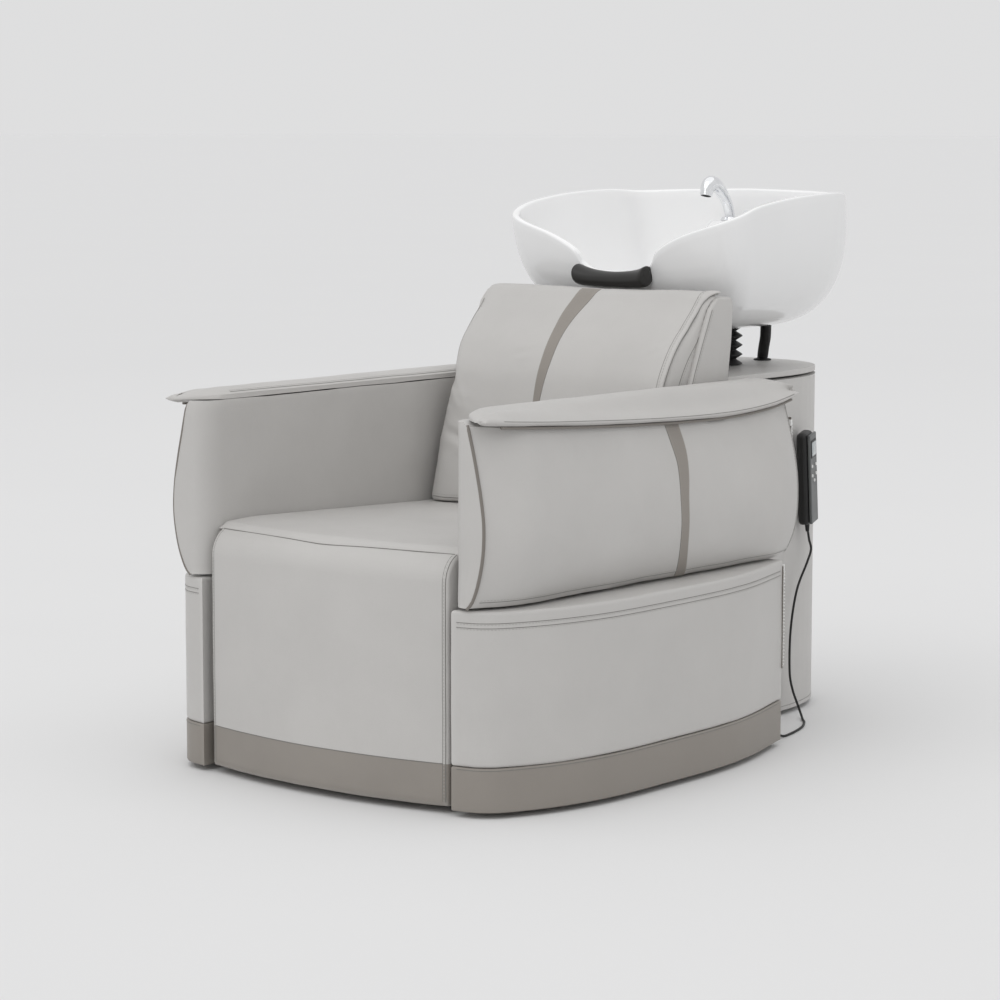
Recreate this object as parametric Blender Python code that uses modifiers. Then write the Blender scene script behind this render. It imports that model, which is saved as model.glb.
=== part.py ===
"""Shampoo backwash unit: an upholstered seat with a powered legrest, and behind it a tilting basin.

The parts are placed in the frame of the `unit` empty: X to the sitter's left, Y from the seat's front
line to the rear, Z up from the floor. `unit` then moves them so that the world origin is the middle of
the footprint. Left and right in the names are as seen from in front of the seat, so left is -X.
Every length is in metres.
"""

import math

import bmesh
import bpy

# Gaps and small sizes that many parts share
GAP = 0.0005
WALL = 0.015
BASE_BOTTOM = 0.010

# Legrest
PANEL_HALF_WIDTH = 0.265
PANEL_EDGE_Y = 0.005
PANEL_BOW = 0.032
PANEL_BACK_Y = 0.062
NOSE_RADIUS = 0.048
LEG_AXIS_Y = 0.050
LEG_AXIS_Z = 0.378
ROLL_RADIUS = 0.061
LEG_SWING = math.radians(75)
CRANK_RADIUS = 0.100
LUG_X = 0.200
LUG_EYE = 0.0125
FRONT_RAIL_Y = 0.150
REAR_RAIL_Y = 0.770
POST_Y = 0.520
BAND_TOP = 0.083

# Skirts
SKIRT_TOP = 0.338
SKIRT_INNER_X = 0.278
SKIRT_BACK_Y = 0.813

# Seat and back
SEAT_HALF_WIDTH = 0.267
SEAT_TOP = 0.430
BOARD_TOP = 0.345
BOARD_THICK = 0.015
BACK_HALF_WIDTH = 0.259
SHELL_HALF_WIDTH = 0.264

# Arms
ARM_INNER_X = 0.272
ARM_BOTTOM = 0.343
ARM_FRONT = -0.002
ARM_BACK = 0.850
ARM_BULGE = 0.033
ARM_CROWN = 0.661
PAD_FRONT = -0.009
PAD_BACK = 0.867
PAD_UNDERSIDE = 0.6425

# Pedestal
PEDESTAL_HALF_WIDTH = 0.215
PEDESTAL_FRONT = 0.8145
PEDESTAL_ROUND_Y = 1.000
PEDESTAL_BACK = 1.290
PEDESTAL_TOP = 0.654
TOP_THICK = 0.014
DOOR_HALF_WIDTH = 0.110
DOOR_BOTTOM = 0.120
DOOR_TOP = 0.560
LATCH_X = -0.095
LATCH_Z = 0.340

# Basin
BASIN_CENTRE_Y = 1.050
BASIN_BOTTOM = 0.729
BASIN_WALL = 0.014
DRAIN_Y = 1.084
DRAIN_RADIUS = 0.026
TILT_Y = 1.084
TILT_Z = 0.690
SPOUT_Y = 1.168
STEM_RADIUS = 0.0096
MIXER_X = 0.062
MIXER_Y = 1.182
HOSE_FOOT = (0.031, 1.240)
DECK_TOP = 0.926
DECK_FRONT = 1.135

# Handset and its cord
HANDSET_PLACE = (0.2315, 1.0975, 0.4505)
HANDSET_TURN = (0, math.radians(-7.5), math.radians(107))
HANDSET_LOW = 0.362
HANDSET_HIGH = 0.539
CASE_WIDE = 0.046
CASE_THICK = 0.028
CORD_RADIUS = 0.0022
GLAND_MOUTH = 0.829

UNIT_Y = (PANEL_EDGE_Y - PANEL_BOW + PEDESTAL_BACK) / 2

COLOURS = {
    "leather": ((0.46, 0.45, 0.44), 0.45, 0.0),
    "taupe_leather": ((0.25, 0.235, 0.21), 0.45, 0.0),
    "steel": ((0.12, 0.12, 0.13), 0.5, 0.6),
    "zinc": ((0.62, 0.63, 0.65), 0.35, 1.0),
    "chrome": ((0.85, 0.86, 0.88), 0.08, 1.0),
    "ceramic": ((0.86, 0.86, 0.86), 0.12, 0.0),
    "rubber": ((0.02, 0.02, 0.02), 0.6, 0.0),
    "gel": ((0.025, 0.025, 0.025), 0.35, 0.0),
    "board": ((0.48, 0.34, 0.2), 0.7, 0.0),
    "black_plastic": ((0.02, 0.02, 0.022), 0.4, 0.0),
    "grey_plastic": ((0.42, 0.44, 0.45), 0.35, 0.0),
    "white_plastic": ((0.8, 0.8, 0.8), 0.35, 0.0),
}


def clear_scene():
    for obj in list(bpy.data.objects):
        bpy.data.objects.remove(obj)


def make_collection(name):
    made = bpy.data.collections.new(name)
    bpy.context.scene.collection.children.link(made)
    return made


def make_material(name):
    colour, roughness, metallic = COLOURS[name]
    material = bpy.data.materials.new(name)
    material.use_nodes = True
    shader = material.node_tree.nodes["Principled BSDF"]
    shader.inputs["Base Color"].default_value = (*colour, 1)
    shader.inputs["Roughness"].default_value = roughness
    shader.inputs["Metallic"].default_value = metallic
    return material


def make_empty(name, location):
    empty = bpy.data.objects.new(name, None)
    empty.location = location
    empty.empty_display_size = 0.05
    PARTS.objects.link(empty)
    if name != "unit":
        empty.parent = UNIT
    return empty


def origin_of(joint):
    """What a part's place is counted from: a turned empty has its own frame, the others share the unit's."""
    return joint.location if joint and not any(joint.rotation_euler) else (0, 0, 0)


def add(name, mesh_or_curve, material, joint=None, at=(0, 0, 0), turn=(0, 0, 0)):
    """Links the part at a place given in the unit's frame, under its joint's empty when it has one."""
    obj = bpy.data.objects.new(name, mesh_or_curve)
    mesh_or_curve.materials.append(MATERIALS[material])
    base = origin_of(joint)
    obj.parent = joint or UNIT
    obj.location = [a - b for a, b in zip(at, base)]
    obj.rotation_euler = turn
    PARTS.objects.link(obj)
    return obj


def mesh_from(bm, name, smooth=30):
    bmesh.ops.recalc_face_normals(bm, faces=bm.faces)
    mesh = bpy.data.meshes.new(name)
    bm.to_mesh(mesh)
    bm.free()
    if smooth:
        mesh.shade_smooth()
        mesh.set_sharp_from_angle(angle=math.radians(smooth))
    return mesh


def bevelled(obj, width, segments=2):
    bevel = obj.modifiers.new("edges", "BEVEL")
    bevel.width = width
    bevel.segments = segments
    bevel.limit_method = "ANGLE"
    bevel.angle_limit = math.radians(40)
    return obj


def box(name, size, at, material, joint=None, bevel=0.0, turn=(0, 0, 0)):
    bm = bmesh.new()
    bmesh.ops.create_cube(bm, size=1)
    bmesh.ops.scale(bm, vec=size, verts=bm.verts)
    obj = add(name, mesh_from(bm, name, 0), material, joint, at, turn)
    return bevelled(obj, bevel) if bevel else obj


def cylinder(name, radius, length, at, material, joint=None, axis="Z", sides=24, top=None, bevel=0.0):
    bm = bmesh.new()
    upper = radius if top is None else top
    bmesh.ops.create_cone(
        bm, cap_ends=True, segments=sides, radius1=radius, radius2=upper, depth=length
    )
    turn = {"X": (0, math.pi / 2, 0), "Y": (-math.pi / 2, 0, 0), "Z": (0, 0, 0)}[axis]
    obj = add(name, mesh_from(bm, name), material, joint, at, turn)
    return bevelled(obj, bevel) if bevel else obj


def loft(name, rings, material, joint=None, closed=False, smooth=35):
    """A closed body through rings of equal count, capped at both ends, or joined end to end when closed."""
    bm = bmesh.new()
    rows = [[bm.verts.new(point) for point in ring] for ring in rings]
    pairs = list(zip(rows, rows[1:]))
    if closed:
        pairs.append((rows[-1], rows[0]))
    for low, high in pairs:
        for i in range(len(low)):
            j = (i + 1) % len(low)
            bm.faces.new((low[i], low[j], high[j], high[i]))
    if not closed:
        bm.faces.new(rows[0][::-1])
        bm.faces.new(rows[-1])
    bmesh.ops.translate(bm, vec=[-b for b in origin_of(joint)], verts=bm.verts)
    obj = add(name, mesh_from(bm, name, smooth), material, joint)
    obj.location = (0, 0, 0)
    return obj


def prism(name, outline, low, high, axis, material, joint=None, smooth=35):
    """An outline extruded along one axis: (y, z) points along X, or (x, y) points along Z."""
    if axis == "X":
        rings = [[(x, y, z) for y, z in outline] for x in (low, high)]
    else:
        rings = [[(x, y, z) for x, y in outline] for z in (low, high)]
    return loft(name, rings, material, joint, smooth=smooth)


def cutter_box(size, at):
    bm = bmesh.new()
    bmesh.ops.create_cube(bm, size=1)
    bmesh.ops.scale(bm, vec=size, verts=bm.verts)
    return as_cutter(mesh_from(bm, "cutter", 0), at)


def cutter_cylinder(radius, length, at, axis="Z", sides=24):
    bm = bmesh.new()
    bmesh.ops.create_cone(
        bm, cap_ends=True, segments=sides, radius1=radius, radius2=radius, depth=length
    )
    turn = {"X": (0, math.pi / 2, 0), "Y": (-math.pi / 2, 0, 0), "Z": (0, 0, 0)}[axis]
    return as_cutter(mesh_from(bm, "cutter", 0), at, turn)


def cutter_prism(outline, low, high, axis):
    obj = prism("cutter", outline, low, high, axis, "steel", smooth=0)
    PARTS.objects.unlink(obj)
    CUTTERS.objects.link(obj)
    return hide(obj)


def as_cutter(mesh, at, turn=(0, 0, 0)):
    obj = bpy.data.objects.new("cutter", mesh)
    obj.parent = UNIT
    obj.location = at
    obj.rotation_euler = turn
    CUTTERS.objects.link(obj)
    return hide(obj)


def hide(obj):
    obj.hide_render = True
    obj.display_type = "WIRE"
    return obj


def boolean(obj, other, operation="DIFFERENCE", solver="EXACT"):
    modifier = obj.modifiers.new(operation.lower(), "BOOLEAN")
    modifier.operation = operation
    modifier.object = other
    modifier.solver = solver
    return obj


def joined(obj, extra, solver="EXACT"):
    """Adds another piece to the part: the extra object becomes a hidden helper of a union."""
    PARTS.objects.unlink(extra)
    CUTTERS.objects.link(extra)
    return boolean(obj, hide(extra), "UNION", solver)


def turned(name, profile, at, material, joint=None, sides=32, turn=(0, 0, 0), wall=None):
    """A profile of (radius, height) points, top to bottom on its outer side, turned about Z."""
    mesh = bpy.data.meshes.new(name)
    points = [(r, 0, z) for r, z in profile]
    mesh.from_pydata(points, [(i, i + 1) for i in range(len(points) - 1)], [])
    obj = add(name, mesh, material, joint, at, turn)
    screw = obj.modifiers.new("turn", "SCREW")
    screw.steps = sides
    screw.render_steps = sides
    screw.use_merge_vertices = True
    screw.merge_threshold = 0.00005
    screw.use_smooth_shade = True
    if wall:
        solid = obj.modifiers.new("wall", "SOLIDIFY")
        solid.thickness = wall
        solid.offset = -1
    return obj


def tube(name, points, radius, material, joint=None, resolution=3, sizes=None):
    curve = bpy.data.curves.new(name, "CURVE")
    curve.dimensions = "3D"
    curve.bevel_depth = radius
    curve.bevel_resolution = resolution
    curve.use_fill_caps = True
    spline = curve.splines.new("POLY")
    spline.points.add(len(points) - 1)
    base = origin_of(joint)
    for i, (point, place) in enumerate(zip(spline.points, points)):
        point.co = (*[p - b for p, b in zip(place, base)], 1)
        if sizes:
            point.radius = sizes[i]
    obj = add(name, curve, material, joint)
    obj.location = (0, 0, 0)
    return obj


def smooth_path(points, per_span):
    """Points along a Catmull-Rom curve through the given ones, per_span of them to each stretch."""
    first = [2 * a - b for a, b in zip(points[0], points[1])]
    last = [2 * a - b for a, b in zip(points[-1], points[-2])]
    knots = [first, *points, last]
    path = []
    for a, b, c, d in zip(knots, knots[1:], knots[2:], knots[3:]):
        for step in range(per_span):
            t = step / per_span
            path.append(
                tuple(
                    q + 0.5 * ((r - p) * t + (2 * p - 5 * q + 4 * r - s) * t**2 + (3 * q - p - 3 * r + s) * t**3)
                    for p, q, r, s in zip(a, b, c, d)
                )
            )
    path.append(tuple(points[-1]))
    return path


def inset(path, depth):
    """The open plan path moved to its left by depth."""
    moved = []
    for i, (x, y) in enumerate(path):
        x0, y0 = path[max(i - 1, 0)]
        x1, y1 = path[min(i + 1, len(path) - 1)]
        length = math.hypot(x1 - x0, y1 - y0)
        moved.append((x - (y1 - y0) / length * depth, y + (x1 - x0) / length * depth))
    return moved


def mirrored(points, side):
    return [(side * x, y) for x, y in points]


# ---------------------------------------------------------------- legrest


def panel_front(x):
    return PANEL_EDGE_Y - PANEL_BOW * (1 - (x / PANEL_HALF_WIDTH) ** 2)


def legrest_section(x):
    front = panel_front(x)
    section = [(x, PANEL_BACK_Y, BAND_TOP + GAP), (x, front, BAND_TOP + GAP)]
    for step in range(6):
        angle = math.pi / 2 * step / 5
        y = front + NOSE_RADIUS * (1 - math.cos(angle))
        section.append((x, y, LEG_AXIS_Z + NOSE_RADIUS * math.sin(angle)))
    start = math.acos(NOSE_RADIUS / ROLL_RADIUS)
    end = math.pi - math.asin((PANEL_BACK_Y - LEG_AXIS_Y) / ROLL_RADIUS)
    for step in range(9):
        angle = start + (end - start) * step / 8
        y = LEG_AXIS_Y + ROLL_RADIUS * math.sin(angle)
        section.append((x, y, LEG_AXIS_Z + ROLL_RADIUS * math.cos(angle)))
    return section


def lug_slot():
    """The room a fixed hinge lug needs in the roll: round its eye, and through the sector it sweeps."""
    outline = []
    for angle in range(-24, -156, -6):
        turn = math.radians(angle)
        outline.append((LEG_AXIS_Y - 0.085 * math.sin(turn), LEG_AXIS_Z + 0.085 * math.cos(turn)))
    for angle in range(205, -22, -19):
        turn = math.radians(angle)
        outline.append((LEG_AXIS_Y - 0.0145 * math.sin(turn), LEG_AXIS_Z + 0.0145 * math.cos(turn)))
    return outline


def make_legrest():
    stations = [PANEL_HALF_WIDTH * (i / 6 - 1) for i in range(13)]
    panel = loft("legrest_panel", [legrest_section(x) for x in stations], "leather", LEG)
    for x in (-LUG_X, LUG_X):
        boolean(panel, cutter_prism(lug_slot(), x - 0.008, x + 0.008, "X"))
        boolean(panel, cutter_cylinder(0.0065, 0.050, (x, LEG_AXIS_Y, LEG_AXIS_Z), "X", 20))
    low = BASE_BOTTOM + 0.002
    band = [[(x, PANEL_BACK_Y, low), (x, panel_front(x) + 0.003, low), (x, panel_front(x), low + 0.004),
             (x, panel_front(x), BAND_TOP), (x, PANEL_BACK_Y, BAND_TOP)] for x in stations]
    loft("legrest_band", band, "taupe_leather", LEG)
    for name, x in (("legrest_pin_left", -LUG_X), ("legrest_pin_right", LUG_X)):
        cylinder(name, 0.0060, 0.046, (x, LEG_AXIS_Y, LEG_AXIS_Z), "zinc", LEG, "X", 20)
    make_crank()


def crank_pin():
    """Where the crank's pin stands at rest: half the swing behind the point straight below the hinge."""
    angle = LEG_SWING / 2
    return LEG_AXIS_Y + CRANK_RADIUS * math.sin(angle), LEG_AXIS_Z - CRANK_RADIUS * math.cos(angle)


def make_crank():
    y, z = crank_pin()
    plate = [(PANEL_BACK_Y + GAP, 0.262), (PANEL_BACK_Y + GAP, 0.312), (y - 0.006, z + 0.011),
             (y + 0.009, z + 0.009), (y + 0.010, z - 0.008), (y - 0.006, z - 0.012)]
    crank = prism("legrest_crank", plate, 0.008, 0.014, "X", "zinc", LEG)
    joined(crank, box("crank_foot", (0.060, 0.006, 0.070), (0.011, PANEL_BACK_Y + 0.0035, 0.280), "zinc"))
    joined(crank, cylinder("crank_pin", 0.004, 0.030, (0.001, y, z), "zinc", axis="X", sides=16))


def make_actuator():
    y, z = crank_pin()
    middle = LEG_AXIS_Z - CRANK_RADIUS * (1 + math.cos(LEG_SWING / 2)) / 2
    yoke = box("actuator_rod", (0.008, 0.022, 0.044), (-0.001, y, middle), "zinc", ROD)
    boolean(yoke, cutter_box((0.020, 0.0125, 0.033), (-0.001, y, middle)))
    joined(yoke, cylinder("rod", 0.007, 0.190, (-0.001, y + 0.105, middle), "zinc", axis="Y", sides=20))
    body = cylinder("actuator_body", 0.017, 0.230, (-0.001, y + 0.175, middle), "black_plastic", axis="Y")
    motor = box("motor", (0.052, 0.075, 0.085), (-0.001, y + 0.310, middle - 0.012), "black_plastic", bevel=0.006)
    joined(body, motor)
    ear_end = POST_Y - 0.0125 - GAP
    joined(body, box("ear", (0.024, 0.060, 0.024), (-0.001, ear_end - 0.030, middle), "black_plastic"))
    boolean(body, cutter_cylinder(0.0078, 0.240, (-0.001, y + 0.165, middle), "Y", 20))


# ---------------------------------------------------------------- base


def skirt_plan():
    """The skirt's outer line on the +X side, from the front gap round to the rear edge."""
    corner = [(SKIRT_INNER_X, -0.003), (0.300, 0.000), (0.329, 0.010), (0.359, 0.042), (0.398, 0.130)]
    side = [(0.421, 0.245), (0.426, 0.389), (0.424, 0.548), (0.408, 0.665), (0.368, SKIRT_BACK_Y)]
    return smooth_path([*corner, *side], 3)


def skirt_solid(name, side, low, high, roof, material):
    plan = skirt_plan()
    outline = [*plan, (SKIRT_INNER_X, SKIRT_BACK_Y)]
    body = prism(name, mirrored(outline, side), low, high, "Z", material)
    hollow = inset(plan, WALL)
    hollow[0] = (0.240, hollow[0][1])
    hollow = [point for point in hollow if point[1] < SKIRT_BACK_Y - WALL]
    hollow += [(hollow[-1][0] - 0.002, SKIRT_BACK_Y - WALL), (0.240, SKIRT_BACK_Y - WALL)]
    return boolean(body, cutter_prism(mirrored(hollow, side), low - 0.02, roof, "Z"))


def make_skirts():
    for word, side in (("left", -1), ("right", 1)):
        skirt_solid(f"skirt_{word}", side, BAND_TOP + GAP, SKIRT_TOP, SKIRT_TOP - 0.012, "leather")
        skirt_solid(f"skirt_band_{word}", side, BASE_BOTTOM, BAND_TOP, BAND_TOP + 0.02, "taupe_leather")


def lug_outline():
    """A plate from the front rail up to a round eye on the legrest's axis."""
    outline = [(0.104, 0.306), (FRONT_RAIL_Y - 0.003, 0.306), (FRONT_RAIL_Y - 0.003, 0.3185), (0.118, 0.3235)]
    for angle in range(-25, 222, 19):
        turn = math.radians(angle)
        outline.append((LEG_AXIS_Y - LUG_EYE * math.sin(turn), LEG_AXIS_Z + LUG_EYE * math.cos(turn)))
    return outline


def make_base():
    rail = 0.025
    low, high = 0.040, BOARD_TOP - BOARD_THICK - GAP
    frame = box("base_frame", (0.53, rail, rail), (0, FRONT_RAIL_Y, low), "steel")
    joined(frame, box("rail", (0.53, rail, rail), (0, REAR_RAIL_Y, low), "steel"))
    joined(frame, box("rail", (0.53, rail, rail), (0, FRONT_RAIL_Y, high - rail / 2), "steel"))
    joined(frame, box("rail", (0.53, rail, rail), (0, REAR_RAIL_Y, high - rail / 2), "steel"))
    middle, span = (FRONT_RAIL_Y + REAR_RAIL_Y) / 2, REAR_RAIL_Y - FRONT_RAIL_Y + 0.020
    for x in (-0.252, 0.252):
        joined(frame, box("rail", (rail, span, rail), (x, middle, low + 0.0002), "steel"))
        joined(frame, box("rail", (rail, span, rail), (x, middle, high - rail / 2 - 0.0002), "steel"))
        for y in (FRONT_RAIL_Y + 0.0003, REAR_RAIL_Y - 0.0003):
            place = (x, y, (low + high) / 2 - 0.0003)
            joined(frame, box("post", (rail - 0.0006, rail, high - low), place, "steel"))
    joined(frame, box("cross_rail", (0.53, rail, rail), (0, POST_Y, low + 0.0001), "steel"))
    joined(frame, box("actuator_post", (rail, rail, 0.262), (-0.001, POST_Y + 0.0002, low + 0.131), "steel"))
    for x in (-LUG_X, LUG_X):
        joined(frame, prism("lug", lug_outline(), x - 0.004, x + 0.004, "X", "steel"))
    for x in (-LUG_X, LUG_X):
        boolean(frame, cutter_cylinder(0.0064, 0.03, (x, LEG_AXIS_Y, LEG_AXIS_Z), "X", 20))
    box("rear_panel", (2 * ARM_INNER_X - 0.001, 0.012, 0.625), (0, 0.8065, 0.3275), "leather", bevel=0.002)
    control_place = (0.130, 0.645, low + rail / 2 + 0.031)
    box("control_box", (0.150, 0.274, 0.060), control_place, "black_plastic", bevel=0.004)
    feet = {"front_left": (-0.235, FRONT_RAIL_Y), "front_right": (0.235, FRONT_RAIL_Y),
            "rear_left": (-0.110, 1.150), "rear_right": (0.110, 1.150)}
    for word, (x, y) in feet.items():
        top = 0.0270 if y < 1 else BASE_BOTTOM - GAP
        cylinder(f"foot_{word}", 0.020, top, (x, y, top / 2), "rubber", top=0.017, sides=20)


# ---------------------------------------------------------------- seat, back and arms


def make_seat():
    board_front = 0.118
    box("seat_board", (2 * SEAT_HALF_WIDTH, 0.785 - board_front, BOARD_THICK),
        (0, (0.785 + board_front) / 2, BOARD_TOP - BOARD_THICK / 2), "board")
    clear = ROLL_RADIUS + 0.002
    top = SEAT_TOP - 0.003
    start = math.acos((top - LEG_AXIS_Z) / clear)
    end = math.pi / 2 + math.asin((LEG_AXIS_Z - BOARD_TOP - GAP) / clear)
    profile = []
    for step in range(7):
        angle = end + (start - end) * step / 6
        profile.append((LEG_AXIS_Y + clear * math.sin(angle), LEG_AXIS_Z + clear * math.cos(angle)))
    profile += [(0.130, SEAT_TOP), (0.540, SEAT_TOP - 0.004), (0.640, SEAT_TOP - 0.006)]
    profile.append((0.644, BOARD_TOP + GAP))
    prism("seat_cushion", profile, -SEAT_HALF_WIDTH, SEAT_HALF_WIDTH, "X", "leather")


def make_back():
    front_seam = [(0.646, 0.450), (0.672, 0.650), (0.700, 0.722), (0.734, 0.788), (0.750, 0.803)]
    shell = [(0.646, BOARD_TOP + GAP), *front_seam, (0.794, 0.803), (0.803, 0.790), (0.798, 0.720),
             (0.788, 0.652), (0.784, 0.560), (0.784, BOARD_TOP + GAP)]
    body = prism("back_shell", shell, -SHELL_HALF_WIDTH, SHELL_HALF_WIDTH, "X", "leather")
    room = [(0.662, 0.300), (0.662, 0.450), (0.688, 0.650), (0.716, 0.715), (0.752, 0.780), (0.782, 0.780),
            (0.776, 0.700), (0.768, 0.560), (0.768, 0.300)]
    boolean(body, cutter_prism(room, WALL - SHELL_HALF_WIDTH, SHELL_HALF_WIDTH - WALL, "X"))
    face = [(0.566, 0.431), (0.588, 0.540), (0.604, 0.620), (0.618, 0.668), (0.648, 0.716), (0.688, 0.756),
            (0.726, 0.790), (0.744, 0.809), (0.760, 0.815), (0.772, 0.812), (0.776, 0.8036)]
    behind = [(y - 0.0006, z + 0.0006) for y, z in reversed(front_seam)]
    outline = [*face, *behind, (0.6454, 0.431)]
    prism("back_cushion", outline, -BACK_HALF_WIDTH, BACK_HALF_WIDTH, "X", "leather")


def arm_line(y):
    """X of the arm's outer face at its foot: round at the front corner, nearly straight, easing in behind."""
    front = 0.310 + 0.041 * math.sin(math.pi / 2 * min(max(y, 0) / 0.110, 1))
    middle = 0.007 * min(max(y - 0.110, 0) / 0.500, 1)
    back = 0.014 * (1 - math.cos(math.pi / 2 * max(y - 0.780, 0) / 0.070))
    return front + middle - back


def lip_height(y):
    """Height of the pad's outer lip, lowest towards the rear and lifted to a point at both ends."""
    turn = 0.620
    if y < turn:
        return 0.613 + 0.030 * (1 - max(y, 0) / turn) ** 1.6
    return 0.613 + 0.020 * min((y - turn) / 0.248, 1) ** 2.2


def lip_line(y):
    reach = 0.355 + 0.011 * math.sin(math.pi / 2 * min(max(y, 0) / 0.100, 1))
    return reach + 0.005 * min(max(y - 0.1, 0) / 0.5, 1) - 0.006 * max(y - 0.780, 0) / 0.088


def arm_inner(y):
    """X of the arm's inner face, rounded off at the front corner."""
    near = max(1 - (y - ARM_FRONT) / 0.050, 0)
    return ARM_INNER_X + 0.032 * (1 - math.sqrt(1 - near**2))


def arm_section(y, side):
    top = lip_height(y) - 0.009
    section = [(side * arm_inner(y), y, ARM_BOTTOM)]
    for step in range(11):
        t = step / 10
        x = arm_line(y) + ARM_BULGE * math.sin(math.pi * t**0.756)
        section.append((side * x, y, ARM_BOTTOM + (top - ARM_BOTTOM) * t))
    section.append((side * arm_inner(y), y, PAD_UNDERSIDE - 0.0015))
    return section


def pad_section(y, side):
    """The arm's top pad: crowned over the inner edge, running down to a rolled outer lip."""
    ends = min((y - PAD_FRONT) / 0.075, (PAD_BACK - y) / 0.060, 1)
    full = math.sin(math.pi / 2 * ends)
    lip, edge = lip_height(y), lip_line(y)
    inner = ARM_INNER_X + 0.062 * (1 - full)
    crown = PAD_UNDERSIDE + 0.003 + (ARM_CROWN - PAD_UNDERSIDE - 0.003) * full
    wide = edge - inner
    section = [(inner, PAD_UNDERSIDE), (inner, PAD_UNDERSIDE + 0.002 + 0.006 * full)]
    section += [(inner + 0.13 * wide, crown - 0.004 * full), (inner + 0.32 * wide, crown)]
    section += [(inner + 0.57 * wide, crown - 0.004 * full), (edge - 0.020, lip + 0.005 + 0.012 * full)]
    section += [(edge - 0.005, lip + 0.006), (edge, lip), (edge - 0.005, lip - 0.005)]
    section.append((edge - 0.016, lip - 0.006))
    return [(side * x, y, z) for x, z in section]


def make_arms():
    stations = [ARM_FRONT, 0.006, 0.020, 0.045, 0.080, 0.120, 0.250, 0.400, 0.550, 0.700, 0.790, 0.830]
    stations.append(ARM_BACK)
    pad_stations = [PAD_FRONT, 0.004, 0.020, 0.042, 0.066, 0.100, 0.200, 0.350, 0.500, 0.620, 0.720, 0.807]
    pad_stations += [0.830, 0.850, 0.862, PAD_BACK]
    for word, side in (("left", -1), ("right", 1)):
        loft(f"arm_{word}", [arm_section(y, side) for y in stations], "leather")
        loft(f"arm_top_{word}", [pad_section(y, side) for y in pad_stations], "leather")


# ---------------------------------------------------------------- pedestal


def pedestal_plan(shrink=0.0):
    """Straight sides, then a superellipse round the rear; the +X side first, then back along -X."""
    power = 2.6
    half = PEDESTAL_HALF_WIDTH - shrink
    deep = PEDESTAL_BACK - PEDESTAL_ROUND_Y - shrink
    right = [(half, PEDESTAL_FRONT + shrink)]
    for step in range(17):
        angle = math.pi / 2 * step / 16
        x = half * math.cos(angle) ** (2 / power)
        right.append((x, PEDESTAL_ROUND_Y + deep * math.sin(angle) ** (2 / power)))
    left = [(-x, y) for x, y in reversed(right[:-1])]
    return right + left


def make_pedestal():
    under_top = PEDESTAL_TOP - TOP_THICK
    shell = prism("pedestal_shell", pedestal_plan(), BASE_BOTTOM, under_top - GAP, "Z", "leather")
    boolean(shell, cutter_prism(pedestal_plan(WALL), BASE_BOTTOM + WALL, 0.700, "Z"))
    mouth = (2 * DOOR_HALF_WIDTH + 0.002, 0.200, DOOR_TOP - DOOR_BOTTOM + 0.002)
    boolean(shell, cutter_box(mouth, (0, PEDESTAL_BACK, (DOOR_TOP + DOOR_BOTTOM) / 2)))
    top = prism("pedestal_top", pedestal_plan(), under_top, PEDESTAL_TOP, "Z", "leather")
    boolean(top, cutter_cylinder(0.016, 0.05, (HOSE_FOOT[0], HOSE_FOOT[1], PEDESTAL_TOP)))
    door = [(x, y) for x, y in pedestal_plan(0.0008) if abs(x) < DOOR_HALF_WIDTH and y > 1.1]
    edge_y = pedestal_edge(DOOR_HALF_WIDTH) - 0.0008
    outer = [(DOOR_HALF_WIDTH, edge_y), *door, (-DOOR_HALF_WIDTH, edge_y)]
    inner = [(x, y - 0.012) for x, y in reversed(outer)]
    prism("service_door", outer + inner, DOOR_BOTTOM, DOOR_TOP, "Z", "leather", DOOR)
    knob = [(0.0, 0.010), (0.008, 0.010), (0.010, 0.008), (0.010, 0.0045), (0.004, 0.0045), (0.004, 0.0)]
    knob.append((0.0, 0.0))
    place = (LATCH_X, pedestal_edge(LATCH_X + 0.004) - 0.0004, LATCH_Z)
    latch = turned("door_latch", knob, place, "chrome", LATCH, 24, (-math.pi / 2, 0, 0))
    joined(latch, box("grip", (0.003, 0.0050, 0.016), (LATCH_X, place[1] + 0.0095, LATCH_Z), "chrome"))


def pedestal_edge(x):
    """Y of the pedestal's outer rear face at this distance from its middle."""
    deep = PEDESTAL_BACK - PEDESTAL_ROUND_Y
    return PEDESTAL_ROUND_Y + deep * (1 - (abs(x) / PEDESTAL_HALF_WIDTH) ** 2.6) ** (1 / 2.6)


# ---------------------------------------------------------------- basin


RIM = [(0.0, 0.812, 0.838), (0.050, 0.808, 0.840), (0.078, 0.803, 0.851), (0.098, 0.797, 0.878),
       (0.150, 0.794, 0.904), (0.225, 0.799, 0.927), (0.262, 0.826, 0.943), (0.271, 0.880, 0.960),
       (0.274, 0.980, 0.973), (0.272, 1.080, 0.979), (0.264, 1.150, 0.980), (0.238, 1.200, 0.977),
       (0.150, 1.232, 0.980), (0.0, 1.243, 0.983)]


def rim_ring():
    half = smooth_path(RIM, 3)
    return half + [(-x, y, z) for x, y, z in reversed(half[1:-1])]


def basin_ring(depth, bottom, narrow, power):
    """The rim drawn in towards the bowl's middle and lowered: depth 0 is the rim and 1 the floor."""
    scale = (1 - depth**power) ** (1 / power) if depth < 1 else 0.0
    scale = narrow + (1 - narrow) * scale
    middle = BASIN_CENTRE_Y + (DRAIN_Y - BASIN_CENTRE_Y) * depth
    ring = []
    for x, y, z in rim_ring():
        ring.append((x * scale, middle + (y - BASIN_CENTRE_Y) * scale, z + (bottom - z) * depth))
    return ring


def inner_ring(ring, wall):
    middle = sum(point[1] for point in ring) / len(ring)
    moved = []
    for x, y, z in ring:
        length = math.hypot(x, y - middle)
        moved.append((x - x / length * wall, y - (y - middle) / length * wall, z))
    return moved


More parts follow.
